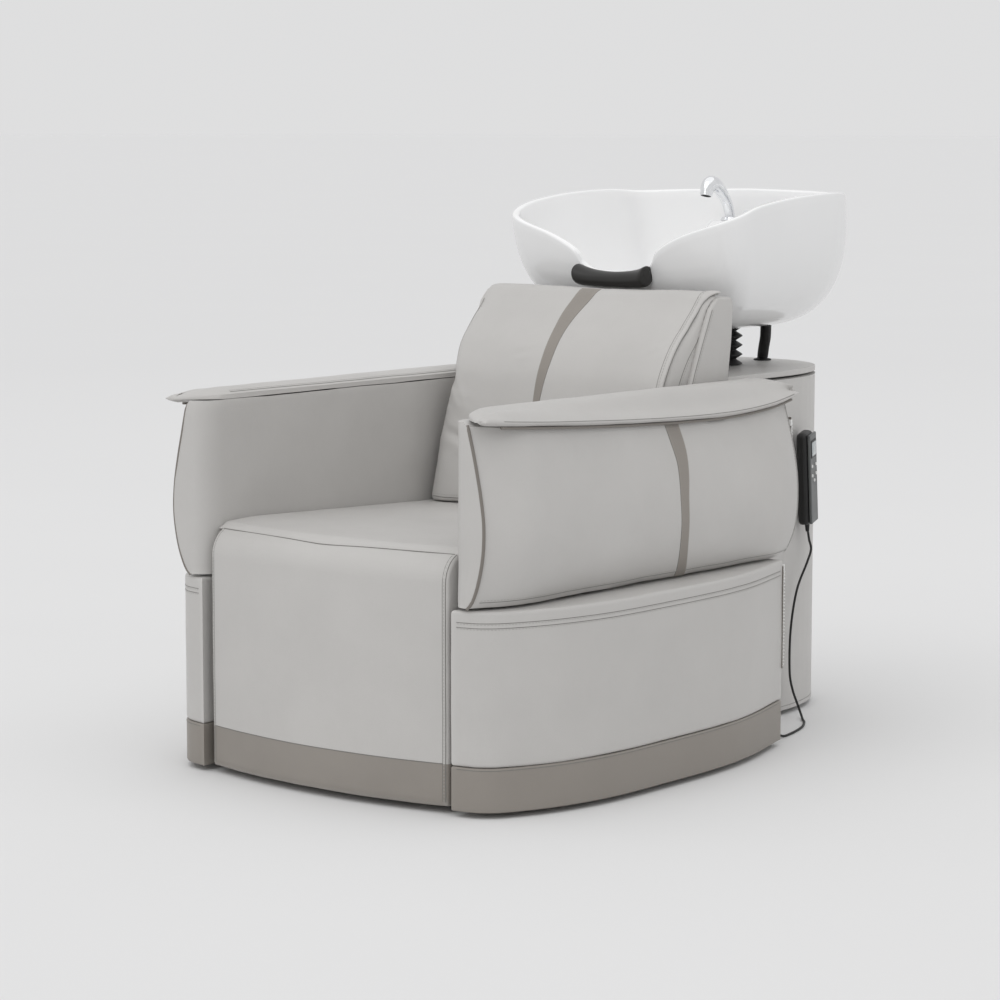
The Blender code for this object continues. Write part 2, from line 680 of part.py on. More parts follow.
def make_basin():
    depths = [0.0, 0.04, 0.15, 0.35, 0.55, 0.72, 0.86, 0.95, 1.0]
    outer = [basin_ring(d, BASIN_BOTTOM, 0.30, 2.6) for d in depths]
    inner = [inner_ring(basin_ring(d, BASIN_BOTTOM + BASIN_WALL, 0.34, 2.4), BASIN_WALL) for d in depths]
    lip = [(x, y, z + 0.004) for x, y, z in inner_ring(outer[0], 0.006)]
    basin = loft("basin", [*reversed(outer), lip, *inner], "ceramic", TILT, smooth=60)
    half = [(x, y) for x, y, z in basin_ring(0.22, BASIN_BOTTOM, 0.30, 2.6) if x >= 0 and y > DECK_FRONT]
    half = [(max(x - 0.005, 0), y - 0.005) for x, y in half]
    half.insert(0, (half[0][0], DECK_FRONT))
    deck_plan = [*half, *[(-x, y) for x, y in reversed(half[:-1])]]
    joined(basin, prism("deck", deck_plan, DECK_TOP - 0.014, DECK_TOP, "Z", "ceramic", smooth=0), "MANIFOLD")
    holes = ((DRAIN_RADIUS, (0, DRAIN_Y, BASIN_BOTTOM)), (STEM_RADIUS + 0.001, (0, SPOUT_Y, DECK_TOP)))
    for radius, place in holes:
        boolean(basin, cutter_cylinder(radius, 0.08, place, sides=28), solver="MANIFOLD")
    strainer = [(0.0, 0.003), (0.026, 0.003), (0.032, 0.0015), (0.032, 0.0), (0.0250, 0.0), (0.0250, -0.0125)]
    floor = (0, DRAIN_Y, BASIN_BOTTOM + BASIN_WALL + GAP)
    grid = turned("drain_strainer", [*strainer, (0.0, -0.0125)], floor, "chrome", TILT, 28)
    for number in range(6):
        angle = math.radians(60 * number)
        place = (0.014 * math.cos(angle), DRAIN_Y + 0.014 * math.sin(angle), floor[2])
        boolean(grid, cutter_cylinder(0.0045, 0.05, place, sides=12))
    make_neck_rest()
    make_tilt_mount()
    make_taps()


def make_neck_rest():
    """A soft roll over the lip's neck dip: fat ends, slimmer in the middle, straddling the rim."""
    rings = []
    for step in range(13):
        t = step / 6 - 1
        x = 0.080 * math.sin(math.pi / 2 * t)
        swell = 0.74 + 0.26 * abs(t) ** 1.5
        size = swell * (1 - abs(t) ** 10 * 0.55)
        front, top = 0.797 - 0.006 * t * t, 0.848 + 0.011 * t * t
        ring = []
        for k in range(16):
            angle = 2 * math.pi * k / 16
            y = front + 0.0265 * size * math.cos(angle)
            ring.append((x, y, top - 0.020 + 0.021 * size * math.sin(angle)))
        rings.append(ring)
    rest = loft("neck_rest", rings, "gel", TILT, smooth=60)
    rim = [(-0.110, 0.7925), (-0.078, 0.8015), (-0.050, 0.8065), (0.0, 0.8105)]
    rim = rim + [(-x, y) for x, y in reversed(rim[:-1])]
    for side in (-1, 1):
        end = [(side * 0.110, 0.7915), (side * 0.076, 0.8005), (side * 0.048, 0.8055), (side * 0.048, 0.9)]
        boolean(rest, cutter_prism([*end, (side * 0.110, 0.9)], 0.70, 0.90, "Z"))
    under = [*[(x, y - 0.001) for x, y in rim], (0.110, 0.9), (-0.110, 0.9)]
    boolean(rest, cutter_prism(under, 0.70, 0.8445, "Z"))


def make_tilt_mount():
    base = box("tilt_bracket", (0.104, 0.058, 0.006), (0, TILT_Y, PEDESTAL_TOP + GAP + 0.003), "steel")
    boolean(base, cutter_cylinder(0.024, 0.05, (0, TILT_Y, PEDESTAL_TOP)))
    plate_place = (0, DRAIN_Y, BASIN_BOTTOM - GAP - 0.003)
    plate = cylinder("tilt_plate", 0.058, 0.006, plate_place, "steel", TILT, sides=36)
    boolean(plate, cutter_cylinder(0.0235, 0.05, (0, DRAIN_Y, BASIN_BOTTOM)))
    for side in (-1, 1):
        ear = [(TILT_Y + y, z) for y, z in ((-0.020, 0.658), (0.020, 0.658), (0.011, 0.702), (-0.011, 0.702))]
        outer = prism("ear", ear, side * 0.0435, side * 0.0485, "X", "steel")
        joined(base, outer)
        inside = [(TILT_Y + y, z) for y, z in ((-0.012, 0.681), (0.012, 0.681), (0.020, 0.725), (-0.020, 0.725))]
        joined(plate, prism("ear", inside, side * 0.0375, side * 0.0425, "X", "steel"))
        boolean(plate, cutter_cylinder(0.0054, 0.008, (side * 0.040, TILT_Y, TILT_Z), "X", 20))
        pin = cylinder("pin", 0.005, 0.016, (side * 0.0425, TILT_Y, TILT_Z), "zinc", axis="X", sides=20)
        joined(base, pin)
    spigot = [(0.0232, BASIN_BOTTOM - 0.0025), (0.0232, 0.706), (0.020, 0.700), (0.020, 0.672)]
    spigot += [(0.017, 0.672), (0.017, BASIN_BOTTOM - 0.0025), (0.0232, BASIN_BOTTOM - 0.0025)]
    turned("drain_spigot", spigot, (0, DRAIN_Y, 0), "black_plastic", TILT, 28)
    folds, low, high = 4, PEDESTAL_TOP + 0.002, BASIN_BOTTOM - 0.002
    zigzag = [(0.063 + 0.012 * (i % 2), high + (low - high) * i / (2 * folds)) for i in range(2 * folds + 1)]
    turned("bellows", zigzag, (0, TILT_Y, 0), "rubber", sides=32, wall=0.0015)
    hose = smooth_path([(0.0760, 1.1680, 0.7290), (0.0720, 1.1760, 0.7190), (0.0600, 1.1960, 0.7000),
                        (0.0460, 1.2180, 0.6820), (0.0340, 1.2355, 0.6680), (0.0310, 1.2400, 0.6570),
                        (0.0310, 1.2400, 0.6420)], 3)
    tube("water_hose", hose, 0.0105, "rubber", resolution=3)
    collar = [(0.0128, 0.0035), (0.0170, 0.0025), (0.0175, 0.0), (0.0155, 0.0), (0.0155, -0.012)]
    turned("hose_grommet", [*collar, (0.0135, -0.012), collar[0]], (*HOSE_FOOT, PEDESTAL_TOP + GAP), "rubber", sides=28)


def make_taps():
    bore = STEM_RADIUS + 0.0007
    collar = [(bore, 0.007), (0.0145, 0.007), (0.0170, 0.002), (0.0170, 0.0), (bore, 0.0), (bore, 0.007)]
    turned("shower_socket", collar, (0, SPOUT_Y, DECK_TOP + GAP), "chrome", TILT, 28)
    path = smooth_path([(1.168, 0.906), (1.168, 0.924), (1.168, 0.940), (1.159, 0.961), (1.143, 0.979),
                        (1.124, 0.993), (1.106, 0.998), (1.094, 0.990), (1.089, 0.975)], 2)
    sizes = [STEM_RADIUS] * 4
    sizes += [0.0098, 0.0100, 0.0103, 0.0106, 0.0112, 0.0120, 0.0134, 0.0146, 0.0152, 0.0150, 0.0138, 0.0122]
    sizes.append(0.0116)
    rings = []
    for i, ((y, z), radius) in enumerate(zip(path, sizes)):
        y0, z0 = path[max(i - 1, 0)]
        y1, z1 = path[min(i + 1, len(path) - 1)]
        length = math.hypot(y1 - y0, z1 - z0)
        ny, nz = -(z1 - z0) / length, (y1 - y0) / length
        ring = []
        for k in range(20):
            angle = 2 * math.pi * k / 20
            up = radius * math.sin(angle)
            ring.append((radius * math.cos(angle), y + ny * up, z + nz * up))
        rings.append(ring)
    head = loft("hand_shower", rings, "chrome", SHOWER, smooth=50)
    down = math.atan2(path[-1][0] - path[-2][0], path[-1][1] - path[-2][1])
    mouth = cutter_cylinder(0.0096, 0.010, (0, 1.0890, 0.9750), sides=20)
    mouth.rotation_euler = (-down, 0, 0)
    boolean(head, mouth)
    face = (0, 1.0890 - 0.0034 * math.sin(down), 0.9750 - 0.0034 * math.cos(down))
    spray = cylinder("spray_face", 0.0092, 0.0025, face, "black_plastic", SHOWER, sides=20)
    spray.rotation_euler = (-down, 0, 0)
    body_place = (MIXER_X, MIXER_Y, DECK_TOP + GAP + 0.0055)
    cylinder("mixer_body", 0.020, 0.011, body_place, "chrome", TILT, bevel=0.002)
    top = DECK_TOP + GAP + 0.011
    cartridge_place = (MIXER_X, MIXER_Y, top + GAP + 0.0035)
    cartridge = cylinder("mixer_cartridge", 0.0175, 0.007, cartridge_place, "chrome", MIXER)
    boolean(cartridge, cutter_box((0.0125, 0.040, 0.010), (MIXER_X, MIXER_Y - 0.009, top + 0.0085)))
    lever_place = (MIXER_X, MIXER_Y - 0.022, top + 0.0075)
    lever = box("mixer_lever", (0.0115, 0.052, 0.0045), lever_place, "chrome", LEVER)
    bevelled(lever, 0.0015)


# ---------------------------------------------------------------- handset, cord and zips


def make_handset():
    """In the handset's own frame: X across its width, -Y out of its face, Z up its length."""
    half = (HANDSET_HIGH - HANDSET_LOW) / 2
    case_size = (CASE_WIDE, CASE_THICK - 0.006, 2 * half)
    case = box("handset_case", case_size, (0, 0.003, 0), "black_plastic", HANDSET)
    bevelled(case, 0.008, 3)
    slot_low, slot_high = -0.060, 0.030
    rear = CASE_THICK / 2
    slot = (0.022, 0.007, slot_high - slot_low)
    boolean(case, as_handset_cutter(slot, (0, rear - 0.003, (slot_low + slot_high) / 2)))
    bar = box("bar", (0.030, 0.0025, 0.014), (0, rear - 0.00125, -0.002), "black_plastic", HANDSET)
    joined(case, bar)
    face_size = (CASE_WIDE - 0.004, 0.0055, 2 * half - 0.006)
    face = box("handset_face", face_size, (0, -rear + 0.00275, 0), "grey_plastic", HANDSET)
    bevelled(face, 0.002)
    places = [(-0.012, 0.025), (0.012, 0.025), (-0.012, 0.007), (0.012, 0.007), (0.0, -0.004)]
    for number, (x, z) in enumerate(places, 1):
        at = (x, -rear, z)
        boolean(face, as_handset_cutter((0.0072, 0.0086, 0.0072), at))
        place = (x, -rear + 0.0006, z)
        cylinder(f"handset_button_{number}", 0.0033, 0.0040, place, "white_plastic", HANDSET, "Y", 16)
    relief = [(0.0, -GAP), (0.0048, -GAP), (0.0034, -0.016), (0.0, -0.016)]
    turned("handset_relief", relief, (0, 0.002, -half), "rubber", HANDSET, 20)


def as_handset_cutter(size, at):
    obj = cutter_box(size, at)
    obj.parent = HANDSET
    return obj


def make_hook():
    """A J hook on the pedestal's side: plate, bend under the case's bar, and a tongue up behind it."""
    rear = CASE_THICK / 2
    hook = box("handset_hook", (0.018, 0.0030, 0.050), (0, rear + 0.0022, -0.012), "zinc", HOOK)
    joined(hook, box("bend", (0.0179, 0.0095, 0.0028), (0, rear - 0.0017, -0.0124), "zinc", HOOK))
    joined(hook, box("tongue", (0.0178, 0.0022, 0.0180), (0, rear - 0.0051, -0.0050), "zinc", HOOK))
    joined(hook, box("standoff", (0.0170, 0.0100, 0.0300), (0, rear + 0.0070, -0.0190), "zinc", HOOK))
    boolean(hook, cutter_prism(pedestal_plan(-GAP), 0.30, 0.60, "Z"))


def cord_route():
    """Down from the handset, along the pedestal, onto the floor and round to the gland."""
    down = [(0.2250, 1.1131, 0.3455), (0.2248, 1.1175, 0.3300), (0.2300, 1.1165, 0.3120), (0.2330, 1.098, 0.288),
            (0.2335, 1.0640, 0.2400), (0.2335, 1.0450, 0.1680), (0.2360, 1.0390, 0.0920), (0.2400, 1.043, 0.056)]
    floor = [(0.2470, 1.0520, 0.0240), (0.2560, 1.0500, 0.0070), (0.2700, 1.0340, 0.0027), (0.288, 1.012, 0.0027),
             (0.3080, 0.9760, 0.0027), (0.3200, 0.9380, 0.0027), (0.3240, 0.9030, 0.0040)]
    return [*down, *floor, (0.3215, 0.8720, 0.0130), (0.3200, 0.8500, 0.0245), (0.3200, GLAND_MOUTH + GAP, 0.0300)]


def make_cord():
    tube("handset_cord", smooth_path(cord_route(), 4), CORD_RADIUS, "rubber", resolution=2)
    length = GLAND_MOUTH - SKIRT_BACK_Y
    gland = [(0.0, length), (0.0036, length), (0.0046, 0.006), (0.0090, 0.006), (0.0090, GAP), (0.0, GAP)]
    turned("cord_gland", gland, (0.320, SKIRT_BACK_Y, 0.030), "rubber", sides=20, turn=(-math.pi / 2, 0, 0))


def make_zips():
    """Zip sliders with their pulls, at the tops of the rear edges of the skirts and the arms."""
    for word, side in (("left", -1), ("right", 1)):
        for place, at in (("skirt", (0.3660, SKIRT_BACK_Y, 0.3235)), ("arm", (0.3540, ARM_BACK, 0.5800))):
            x, y, z = side * at[0], at[1] + GAP + 0.0024, at[2]
            name, size = f"{place}_zip_slider_{word}", (0.0080, 0.0048, 0.0110)
            slider = box(name, size, (x, y, z), "white_plastic", bevel=0.001)
            pull = box("pull", (0.0050, 0.0018, 0.0220), (x, y + 0.0030, z - 0.0140), "white_plastic")
            joined(slider, pull)


# ---------------------------------------------------------------- build


clear_scene()
PARTS = make_collection("shampoo_backwash_unit")
CUTTERS = make_collection("cutters")
MATERIALS = {name: make_material(name) for name in COLOURS}
UNIT = make_empty("unit", (0, -UNIT_Y, 0))
LEG = make_empty("legrest_joint", (0, LEG_AXIS_Y, LEG_AXIS_Z))
ROD = make_empty("rod_joint", (0, LEG_AXIS_Y, LEG_AXIS_Z - CRANK_RADIUS))
TILT = make_empty("basin_joint", (0, TILT_Y, TILT_Z))
SHOWER = make_empty("shower_joint", (0, SPOUT_Y, DECK_TOP))
MIXER = make_empty("mixer_joint", (MIXER_X, MIXER_Y, DECK_TOP))
LEVER = make_empty("lever_joint", (MIXER_X, MIXER_Y + 0.002, DECK_TOP + 0.019))
DOOR = make_empty("door_joint", (DOOR_HALF_WIDTH, pedestal_edge(DOOR_HALF_WIDTH), 0.34))
LATCH = make_empty("latch_joint", (LATCH_X, pedestal_edge(LATCH_X), LATCH_Z))
HANDSET = make_empty("handset_joint", HANDSET_PLACE)
HANDSET.rotation_euler = HANDSET_TURN
HOOK = make_empty("hook_frame", HANDSET_PLACE)
HOOK.rotation_euler = HANDSET_TURN
for builder in (make_legrest, make_actuator, make_skirts, make_base, make_seat, make_back, make_arms,
                make_pedestal, make_basin, make_handset, make_hook, make_cord, make_zips):
    builder()
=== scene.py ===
"""Looks of the shampoo backwash unit: leather, glaze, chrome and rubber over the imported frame.

Shapes are described in the seat's frame: X to the right as seen from the front, Y from the seat's front
line to the rear, Z up. W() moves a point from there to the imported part's frame. Lengths are in metres.
"""

from math import asin, copysign, cos, dist, exp, hypot, pi, radians, sin, sqrt

import bmesh
import bpy
import numpy as np
from mathutils import Matrix, Vector, noise
from mathutils.bvhtree import BVHTree


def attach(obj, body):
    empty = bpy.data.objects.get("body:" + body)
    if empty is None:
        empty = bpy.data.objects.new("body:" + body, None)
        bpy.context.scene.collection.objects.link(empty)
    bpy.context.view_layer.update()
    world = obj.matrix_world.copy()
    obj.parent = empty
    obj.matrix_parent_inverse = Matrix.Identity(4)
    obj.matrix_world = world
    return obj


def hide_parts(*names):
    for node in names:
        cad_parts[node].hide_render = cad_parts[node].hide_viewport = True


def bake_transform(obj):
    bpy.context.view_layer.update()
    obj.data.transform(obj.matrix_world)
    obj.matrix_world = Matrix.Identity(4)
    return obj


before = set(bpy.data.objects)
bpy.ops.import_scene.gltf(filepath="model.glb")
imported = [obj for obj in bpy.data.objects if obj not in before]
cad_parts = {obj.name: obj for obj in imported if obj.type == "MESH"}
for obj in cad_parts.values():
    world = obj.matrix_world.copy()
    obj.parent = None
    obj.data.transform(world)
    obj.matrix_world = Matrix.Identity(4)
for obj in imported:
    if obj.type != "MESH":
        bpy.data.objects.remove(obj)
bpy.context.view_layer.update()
SCENE = bpy.context.scene
UNIT_Y = 0.6315


def W(point):
    return (point[0], point[1] - UNIT_Y, point[2])


# ---- camera and lights


def make_camera():
    turn, lift = radians(39), radians(6.92)
    back = Vector((sin(turn) * cos(lift), -cos(turn) * cos(lift), sin(lift)))
    right = Vector((cos(turn), sin(turn), 0))
    up = back.cross(right)
    place = Vector(W((-0.0002, 0.46545, 0.44982))) + 5.4528 * back
    data = bpy.data.cameras.new("camera")
    data.lens, data.sensor_width, data.clip_end = 110.86, 36, 1000
    camera = bpy.data.objects.new("camera", data)
    camera.matrix_world = Matrix.Translation(place) @ Matrix((right, up, back)).transposed().to_4x4()
    SCENE.collection.objects.link(camera)
    SCENE.camera = camera


def make_sun(name, energy, angle, turn, lift):
    data = bpy.data.lights.new(name, "SUN")
    data.energy, data.angle = energy, radians(angle)
    sun = bpy.data.objects.new(name, data)
    sun.rotation_euler = (radians(90 - lift), 0, radians(turn))
    SCENE.collection.objects.link(sun)


def make_light():
    world = bpy.data.worlds.new("studio")
    world.use_nodes = True
    SCENE.world = world
    backdrop = world.node_tree.nodes["Background"]
    backdrop.inputs["Color"].default_value = (0.735, 0.735, 0.738, 1)
    backdrop.inputs["Strength"].default_value = 1.0
    make_sun("overhead", 0.55, 90, 20, 80)
    make_sun("front_key", 0.44, 60, 8, 42)
    SCENE.view_settings.view_transform = "Standard"


def make_floor():
    mesh = bpy.data.meshes.new("floor")
    reach = 300
    corners = [(-reach, -reach, 0), (reach, -reach, 0), (reach, reach, 0), (-reach, reach, 0)]
    mesh.from_pydata(corners, [], [(0, 1, 2, 3)])
    floor = bpy.data.objects.new("floor", mesh)
    SCENE.collection.objects.link(floor)
    mesh.materials.append(MATERIALS["floor"])


# ---- materials


class Nodes:
    """A material's node tree, with short calls for the nodes used here."""

    def __init__(self, name):
        self.material = bpy.data.materials.new(name)
        self.material.use_nodes = True
        self.tree = self.material.node_tree
        self.shader = self.tree.nodes["Principled BSDF"]
        self.place = self.add("ShaderNodeTexCoord").outputs["Object"]

    def add(self, kind, **values):
        node = self.tree.nodes.new(kind)
        for key, value in values.items():
            setattr(node, key, value)
        return node

    def put(self, node, **values):
        for key, value in values.items():
            socket = node.inputs[key.replace("_", " ")]
            if isinstance(value, bpy.types.NodeSocket):
                self.tree.links.new(value, socket)
            else:
                socket.default_value = value
        return node

    def noise(self, scale, detail=3.0, rough=0.5, place=None):
        node = self.add("ShaderNodeTexNoise")
        self.put(node, Vector=place or self.place, Scale=scale, Detail=detail, Roughness=rough)
        return node.outputs["Fac"]

    def cells(self, scale, feature="F1"):
        node = self.add("ShaderNodeTexVoronoi", feature=feature)
        self.put(node, Vector=self.place, Scale=scale)
        return node.outputs["Distance"]

    def span(self, value, low, high, to_low=0.0, to_high=1.0):
        node = self.add("ShaderNodeMapRange")
        self.put(node, Value=value, From_Min=low, From_Max=high, To_Min=to_low, To_Max=to_high)
        return node.outputs["Result"]

    def mix(self, share, first, second):
        node = self.add("ShaderNodeMix", data_type="RGBA")
        self.put_at(node, 0, share)
        self.put_at(node, 6, first)
        self.put_at(node, 7, second)
        return node.outputs[2]

    def put_at(self, node, index, value):
        if isinstance(value, bpy.types.NodeSocket):
            self.tree.links.new(value, node.inputs[index])
        else:
            node.inputs[index].default_value = (*value, 1) if isinstance(value, tuple) else value

    def sum(self, first, second, weight):
        node = self.add("ShaderNodeMath", operation="MULTIPLY_ADD")
        self.put_at(node, 0, second)
        self.put_at(node, 1, weight)
        self.put_at(node, 2, first)
        return node.outputs[0]

    def bump(self, height, distance, strength, normal=None):
        node = self.add("ShaderNodeBump")
        self.put(node, Height=height, Distance=distance, Strength=strength)
        if normal:
            self.put(node, Normal=normal)
        return node.outputs["Normal"]

    def stretched(self, scale):
        node = self.add("ShaderNodeMapping")
        self.put(node, Vector=self.place, Scale=scale)
        return node.outputs["Vector"]

    def edges(self, low, high):
        """1 on sharp convex edges, where a finish wears."""
        return self.span(self.add("ShaderNodeNewGeometry").outputs["Pointiness"], low, high)

    def finish(self, **values):
        self.put(self.shader, **values)
        return self.material


def times(colour, factor):
    return tuple(channel * factor for channel in colour)


def leather(name, colour, split=None):
    """Fine pebbled leather. split gives (height, colour below it) for a cover sewn of two leathers."""
    n = Nodes(name)
    cloudy = n.span(n.noise(5, 4, 0.6), 0.3, 0.7)
    tone = n.mix(cloudy, times(colour, 0.965), times(colour, 1.03))
    if split:
        height, below = split
        low = n.mix(cloudy, times(below, 0.95), times(below, 1.05))
        axis = n.add("ShaderNodeSeparateXYZ")
        n.put(axis, Vector=n.place)
        tone = n.mix(n.span(axis.outputs["Z"], height - 0.0004, height + 0.0004), low, tone)
    creases = n.cells(620, "DISTANCE_TO_EDGE")
    # Painted shade: the grain's crease lines are coloured darker, standing in for the shade that falls in
    # them.
    tone = n.mix(n.span(creases, 0.0, 0.12, 0.1, 0.0), tone, times(colour, 0.62))
    tone = n.mix(n.span(n.noise(60, 5, 0.65), 0.55, 0.85, 0.0, 0.05), tone, times(colour, 0.75))
    tone = n.mix(n.edges(0.53, 0.62), tone, times(colour, 1.1))
    pebbles = n.sum(n.span(creases, 0.0, 0.3), n.noise(1500, 2), 0.35)
    soft = n.bump(n.noise(22, 3, 0.55), 0.0016, 0.22)
    grain = n.bump(pebbles, 0.00022, 0.55, soft)
    rough = n.sum(n.span(n.noise(9, 3), 0.3, 0.7, 0.4, 0.5), creases, 0.1)
    return n.finish(Base_Color=tone, Roughness=rough, Normal=grain, Sheen_Weight=0.06, Sheen_Roughness=0.45,
                    Specular_IOR_Level=0.42)


def glaze(name, colour):
    n = Nodes(name)
    tone = n.mix(n.span(n.noise(4, 3), 0.3, 0.7), times(colour, 0.98), times(colour, 1.01))
    tone = n.mix(n.span(n.noise(900, 1), 0.74, 0.8, 0.0, 0.25), tone, (0.72, 0.72, 0.72))
    wavy = n.bump(n.noise(18, 2, 0.4), 0.0006, 0.25)
    rough = n.span(n.noise(11, 4), 0.3, 0.8, 0.1, 0.2)
    return n.finish(Base_Color=tone, Roughness=rough, Normal=wavy, Coat_Weight=0.6, Coat_Roughness=0.04)


def chrome():
    n = Nodes("polished_chrome")
    smear = n.noise(70, 5, 0.7)
    tone = n.mix(n.span(smear, 0.4, 0.7), (0.8, 0.81, 0.83), (0.9, 0.91, 0.92))
    rough = n.sum(n.span(smear, 0.45, 0.8, 0.045, 0.14), n.noise(2200, 2), 0.02)
    wavy = n.bump(n.noise(40, 2), 0.0003, 0.15)
    return n.finish(Base_Color=tone, Roughness=rough, Metallic=1.0, Normal=wavy)


def metal(name, colour, rough, brushed=(1, 1, 30), metallic=1.0):
    n = Nodes(name)
    grain = n.noise(60, 4, 0.7, n.stretched(brushed))
    tone = n.mix(grain, times(colour, 0.82), times(colour, 1.12))
    tone = n.mix(n.edges(0.54, 0.62), tone, times(colour, 1.5))
    spread = n.span(grain, 0.3, 0.7, rough - 0.07, rough + 0.1)
    return n.finish(Base_Color=tone, Roughness=spread, Metallic=metallic, Normal=n.bump(grain, 0.0002, 0.4))


def moulded(name, colour, rough, grain=1400):
    """Moulded plastic or rubber with a spark-eroded grain, scuffed on its edges."""
    n = Nodes(name)
    dust = n.span(n.noise(28, 5, 0.7), 0.45, 0.8, 0.0, 0.22)
    tone = n.mix(dust, colour, tuple(0.012 + channel * 1.1 for channel in colour))
    tone = n.mix(n.edges(0.54, 0.64), tone, tuple(0.03 + channel * 1.2 for channel in colour))
    height = n.sum(n.noise(grain, 2), n.cells(grain * 0.6), 0.5)
    spread = n.span(n.noise(24, 4), 0.3, 0.7, rough - 0.06, rough + 0.08)
    grained = n.bump(height, 0.00012, 0.5)
    return n.finish(Base_Color=tone, Roughness=spread, Normal=grained, Specular_IOR_Level=0.45)


def plywood():
    n = Nodes("birch_plywood")
    rings = n.noise(9, 6, 0.7, n.stretched((1, 14, 60)))
    tone = n.mix(rings, (0.36, 0.24, 0.13), (0.58, 0.43, 0.27))
    rough = n.span(rings, 0.3, 0.7, 0.6, 0.75)
    return n.finish(Base_Color=tone, Roughness=rough, Normal=n.bump(rings, 0.0003, 0.5))


def thread():
    n = Nodes("sewing_thread")
    wave = n.add("ShaderNodeTexWave", bands_direction="DIAGONAL")
    twist = n.put(wave, Vector=n.place, Scale=900.0, Distortion=0.5).outputs["Fac"]
    # Painted shade: the thread is coloured darker in the grooves of its twist, following the same wave that
    # gives its bump.
    tone = n.mix(twist, (0.3, 0.29, 0.27), (0.46, 0.45, 0.43))
    rough = n.span(n.noise(300), 0.3, 0.7, 0.6, 0.75)
    return n.finish(Base_Color=tone, Roughness=rough, Normal=n.bump(twist, 0.0002, 0.6), Sheen_Weight=0.2)


def seam_shade():
    """Painted shade for the valley of a seam, where two leathers turn in against each other: a dark bead
    coloured as its shadow.
    """
    n = Nodes("painted_seam_shade")
    tone = n.mix(n.noise(160, 3), (0.16, 0.155, 0.145), (0.24, 0.235, 0.22))
    rough = n.span(n.noise(80), 0.3, 0.7, 0.6, 0.7)
    return n.finish(Base_Color=tone, Roughness=rough, Normal=n.bump(n.noise(900), 0.0002, 0.4))


def window():
    n = Nodes("display_window")
    haze = n.noise(260, 4, 0.7)
    tone = n.mix(haze, (0.3, 0.33, 0.34), (0.52, 0.56, 0.57))
    rough = n.span(haze, 0.3, 0.7, 0.1, 0.22)
    return n.finish(Base_Color=tone, Roughness=rough, Coat_Weight=0.5, Normal=n.bump(haze, 0.0001, 0.2))


def floor_with_painted_light_pool():
    n = Nodes("studio_floor")
    away = n.add("ShaderNodeVectorMath", operation="LENGTH")
    n.put_at(away, 0, n.place)
    # Painted light: the floor is painted lighter within a metre of the unit and fades to a darker grey by
    # nine metres, a painted pool of light.
    far = n.span(away.outputs["Value"], 1.0, 9.0)
    tone = n.mix(far, (0.78, 0.78, 0.78), (0.722, 0.722, 0.724))
    tone = n.mix(n.span(n.noise(0.7, 2), 0.3, 0.7, 0.0, 0.3), tone, (0.735, 0.735, 0.737))
    return n.finish(Base_Color=tone, Roughness=0.9, Specular_IOR_Level=0.1)


LEATHER, TAUPE = (0.54, 0.528, 0.512), (0.278, 0.254, 0.228)
BAND_TOP, HEM_Z = 0.083, 0.0832
MATERIALS = {
    "leather": leather("grey_leather", LEATHER),
    "panel": leather("grey_leather_over_taupe", LEATHER, (BAND_TOP, TAUPE)),
    "taupe": leather("taupe_leather", TAUPE),
    "piping": leather("piping_leather", times(TAUPE, 0.72)),
    "strip": leather("strip_leather", TAUPE),
    # Painted light: "glaze" and "bowl" are one ceramic glaze in a darker and a lighter copy. The lighter
    # copy goes on the faces that look into the bowl and on the deck.
    "glaze": glaze("ceramic_glaze", (0.855, 0.857, 0.858)),
    "bowl": glaze("glaze_painted_lit_inside", (0.945, 0.945, 0.945)),
    "chrome": chrome(), "ply": plywood(), "thread": thread(), "seam_shade": seam_shade(),
    "steel": metal("black_painted_steel", (0.045, 0.045, 0.05), 0.45, (1, 1, 1), 0.3),
    "zinc": metal("zinc_plated_steel", (0.6, 0.61, 0.63), 0.32),
    "rubber": moulded("black_rubber", (0.008, 0.008, 0.008), 0.55),
    "gel": moulded("gel_rubber", (0.017, 0.016, 0.015), 0.34, 900),
    "black": moulded("black_plastic", (0.006, 0.006, 0.006), 0.38),
    "grey": moulded("grey_plastic", (0.1, 0.105, 0.105), 0.34),
    "white": moulded("white_plastic", (0.74, 0.74, 0.73), 0.38),
    "window": window(), "floor": floor_with_painted_light_pool(),
}


# ---- mesh tools

SIDES = (("left", -1), ("right", 1))


def quarter(steps):
    """Angles from 0 to a right angle in equal steps, both ends included."""
    return [pi / 2 * k / steps for k in range(steps + 1)]


def turns(sides):
    return [2 * pi * k / sides for k in range(sides)]


def ramp(start, stop, steps):
    return [start + (stop - start) * k / steps for k in range(steps + 1)]


def smooth_path(points, per_span):
    """Points along a Catmull-Rom curve through the given ones, per_span of them to each stretch."""
    points = [np.array(point, float) for point in points]
    knots = [2 * points[0] - points[1], *points, 2 * points[-1] - points[-2]]
    path = []
    for p, q, r, s in zip(knots, knots[1:], knots[2:], knots[3:]):
        for step in range(per_span):
            t = step / per_span
            cubic = 2 * q + (r - p) * t + (2 * p - 5 * q + 4 * r - s) * t**2 + (3 * q - p - 3 * r + s) * t**3
            path.append(tuple(0.5 * cubic))
    return [*path, tuple(points[-1])]


def even(points, pitch):
    """The same line with a point at each even step along it."""
    points = np.array(points, float)
    along = np.concatenate([[0], np.cumsum(np.linalg.norm(np.diff(points, axis=0), axis=1))])
    count = max(int(along[-1] / pitch), 2)
    wanted = np.linspace(0, along[-1], count + 1)
    columns = [np.interp(wanted, along, column) for column in points.T]
    return [tuple(point) for point in np.column_stack(columns)]


